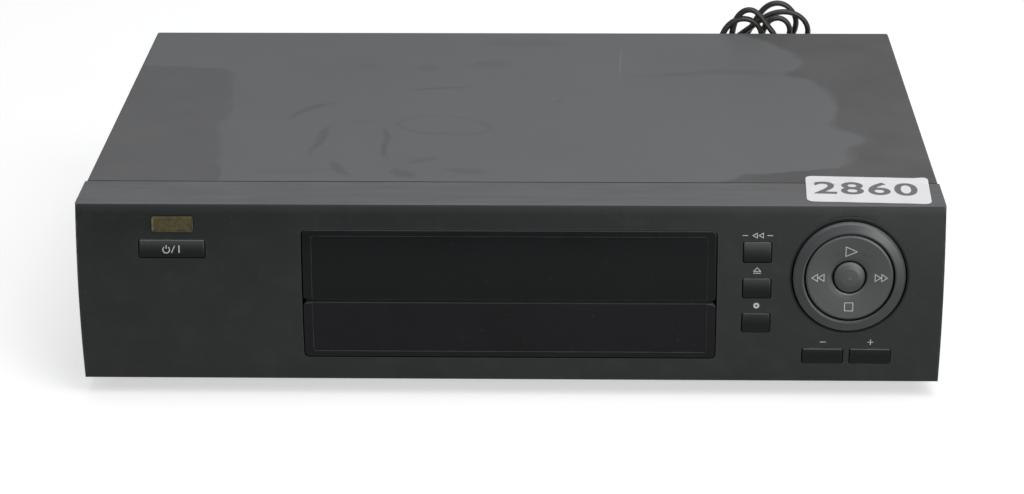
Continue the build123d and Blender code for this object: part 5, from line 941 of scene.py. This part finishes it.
bmesh.ops.recalc_face_normals(cord_mesh, faces=cord_mesh.faces)
cord_data = bpy.data.meshes.new("mains_cord")
cord_mesh.to_mesh(cord_data)
cord_mesh.free()
mains_cord = bpy.data.objects.new("mains_cord", cord_data)
bpy.context.scene.collection.objects.link(mains_cord)
bpy.ops.object.select_all(action="DESELECT")
mains_cord.select_set(True)
bpy.context.view_layer.objects.active = mains_cord
bpy.ops.object.shade_smooth_by_angle(angle=radians(50))

cord_vinyl, tree, shader = start_finish("cord_vinyl_flex")
place = add_node(tree, "ShaderNodeTexCoord").outputs["Object"]
texture = add_group(tree, surface_grain, grain_scale=3200.0, cloud_scale=70.0)
scuffed = add_math(tree, "MULTIPLY_ADD", add_noise(tree, place, 190.0, 4.0, 0.65), 3.2, -1.5, clamp=True)
tone = mix_colour(tree, texture.outputs["Cloud"], (0.0175, 0.0167, 0.0150), (0.0245, 0.0235, 0.0213))
tone = mix_colour(tree, add_math(tree, "MULTIPLY", scuffed, 0.45), tone, (0.042, 0.040, 0.037))
tone = mix_colour(tree, add_math(tree, "MULTIPLY", texture.outputs["Specks"], 0.35), tone, (0.11, 0.105, 0.095))
tree.links.new(tone, shader.inputs["Base Color"])
tree.links.new(add_math(tree, "MULTIPLY_ADD", scuffed, 0.12, 0.44), shader.inputs["Roughness"])
add_bump(tree, shader, texture.outputs["Height"], 0.00002, 0.5)
mains_cord.data.materials.append(cord_vinyl)
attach(mains_cord, "root")
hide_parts("mains_cord_lead", "mains_cord_hank", "mains_cord_tail")

# coated wire tie: twice round the hank's waist, with its two ends twisted together behind
TIE_THICK = 0.0011
TIE_TWIST = 0.0007
in_waist = [v.co for v in cord_data.vertices if abs(v.co.z - WAIST_Z) < 0.0032 and abs(v.co.x - WAIST_X) < 0.016]
tie_left, tie_right = min(p.x for p in in_waist) - TIE_THICK / 2, max(p.x for p in in_waist) + TIE_THICK / 2
tie_front, tie_back = min(p.y for p in in_waist) - TIE_THICK / 2, max(p.y for p in in_waist) + TIE_THICK / 2
tie_corner = 0.0016
tie_middle = (tie_left + tie_right) / 2
one_turn = []
tie_corners = (
    (tie_left, tie_back, 90), (tie_left, tie_front, 180), (tie_right, tie_front, 270), (tie_right, tie_back, 0),
)
for x, y, start in tie_corners:
    middle_x = x + (tie_corner if x == tie_left else -tie_corner)
    middle_y = y + (tie_corner if y == tie_front else -tie_corner)
    for step in range(6):
        a = radians(start + 18 * step)
        one_turn.append((middle_x + tie_corner * cos(a), middle_y + tie_corner * sin(a)))


def twisted_end(degree, out):
    """A spot on one of the two ends twisted together, that far out behind the hank."""
    a = radians(degree)
    x = tie_middle + TIE_TWIST * cos(a) - 0.2 * out
    return (x, tie_back + TIE_TWIST + out, WAIST_Z + TIE_TWIST * sin(a) - 0.3 * out)


tie_line = [twisted_end(52 * step, 0.0098 * (1 - step / 27)) for step in range(28)]
wound_points = one_turn * 2
for step, (x, y) in enumerate(wound_points):
    tie_line.append((x, y, WAIST_Z - 0.0009 + 0.0018 * step / (len(wound_points) - 1)))
tie_line += [twisted_end(52 * (27 - step) + 180, 0.0090 * step / 27) for step in range(28)]
tie_curve = bpy.data.curves.new("cord_tie", "CURVE")
tie_curve.dimensions = "3D"
tie_curve.bevel_depth = TIE_THICK / 2
tie_curve.bevel_resolution = 2
tie_curve.use_fill_caps = True
wire = tie_curve.splines.new("POLY")
wire.points.add(len(tie_line) - 1)
for point, place in zip(wire.points, tie_line):
    point.co = (*place, 1.0)
cord_tie = bpy.data.objects.new("cord_tie", tie_curve)
bpy.context.scene.collection.objects.link(cord_tie)
bpy.ops.object.select_all(action="DESELECT")
cord_tie.select_set(True)
bpy.context.view_layer.objects.active = cord_tie
bpy.ops.object.convert(target="MESH")
cord_tie = bpy.context.object
bpy.ops.object.mode_set(mode="EDIT")
bpy.ops.mesh.select_all(action="SELECT")
bpy.ops.mesh.remove_doubles(threshold=0.00001)
bpy.ops.mesh.normals_make_consistent(inside=False)
bpy.ops.object.mode_set(mode="OBJECT")
bpy.ops.object.shade_smooth_by_angle(angle=radians(50))
tie_coating = moulded_plastic("tie_coated_wire", (0.045, 0.044, 0.042), 0.42, grain=5000.0, depth=0.000008)
cord_tie.data.materials.append(tie_coating)
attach(cord_tie, "root")


# ---------------------------------------------------------------- floor, light and camera
# A white table under a large soft lamp overhead, with two smaller ones to the right and in front.
bpy.ops.object.select_all(action="DESELECT")
bpy.ops.mesh.primitive_plane_add(size=6, location=(0, 0, 0))
table = bpy.context.object
table.name = "table"
table_paint, tree, shader = start_finish("table_white")
shader.inputs["Base Color"].default_value = (0.62, 0.62, 0.62, 1)
shader.inputs["Roughness"].default_value = 0.7
shader.inputs["Specular IOR Level"].default_value = 0.2
seen_rays = add_node(tree, "ShaderNodeLightPath")
seen = add_math(tree, "MAXIMUM", seen_rays.outputs["Is Camera Ray"], seen_rays.outputs["Is Glossy Ray"])
seen = add_math(tree, "MAXIMUM", seen, seen_rays.outputs["Is Transmission Ray"])
glow = add_math(tree, "MULTIPLY", seen, 0.53)
pale = add_node(tree, "ShaderNodeEmission", {"Color": (1, 1, 1, 1), "Strength": glow})
both = add_node(tree, "ShaderNodeAddShader")
tree.links.new(shader.outputs[0], both.inputs[0])
tree.links.new(pale.outputs[0], both.inputs[1])
tree.links.new(both.outputs[0], tree.nodes["Material Output"].inputs["Surface"])
table.data.materials.append(table_paint)

room = bpy.data.worlds.new("room")
bpy.context.scene.world = room
room.use_nodes = True
room.node_tree.nodes["Background"].inputs["Color"].default_value = (0.97, 0.985, 1.0, 1)
room.node_tree.nodes["Background"].inputs["Strength"].default_value = 0.30

for name, power, size, place, aim in (
    ("lamp_above", 11.0, 1.2, (0.10, 0.0, 1.50), (0, 0, 0.05)),
    ("lamp_upper_right", 7.0, 0.8, (0.85, -0.75, 1.15), (0, 0, 0.05)),
    ("lamp_right", 16.0, 0.8, (0.90, -1.56, 0.45), (0.12, -0.13, 0.06)),
):
    lamp = bpy.data.lights.new(name, "AREA")
    lamp.energy = power
    lamp.size = size
    lamp_object = bpy.data.objects.new(name, lamp)
    bpy.context.scene.collection.objects.link(lamp_object)
    lamp_object.location = place
    lamp_object.rotation_euler = (Vector(aim) - Vector(place)).to_track_quat("-Z", "Y").to_euler()

camera_data = bpy.data.cameras.new("camera")
camera_data.lens = 92.91
camera_data.sensor_width = 36
camera = bpy.data.objects.new("camera", camera_data)
bpy.context.scene.collection.objects.link(camera)
turn = Matrix.Rotation(radians(1.66), 4, "Z")
tip = Matrix.Rotation(radians(90 - 22.784), 4, "X")
roll = Matrix.Rotation(radians(-0.42), 4, "Z")
camera.matrix_world = Matrix.Translation((0.0339, -1.24904, 0.5452)) @ turn @ tip @ roll
bpy.context.scene.camera = camera
bpy.context.scene.view_settings.view_transform = "Standard"

# ---------------------------------------------------------------- final update
bpy.context.view_layer.update()
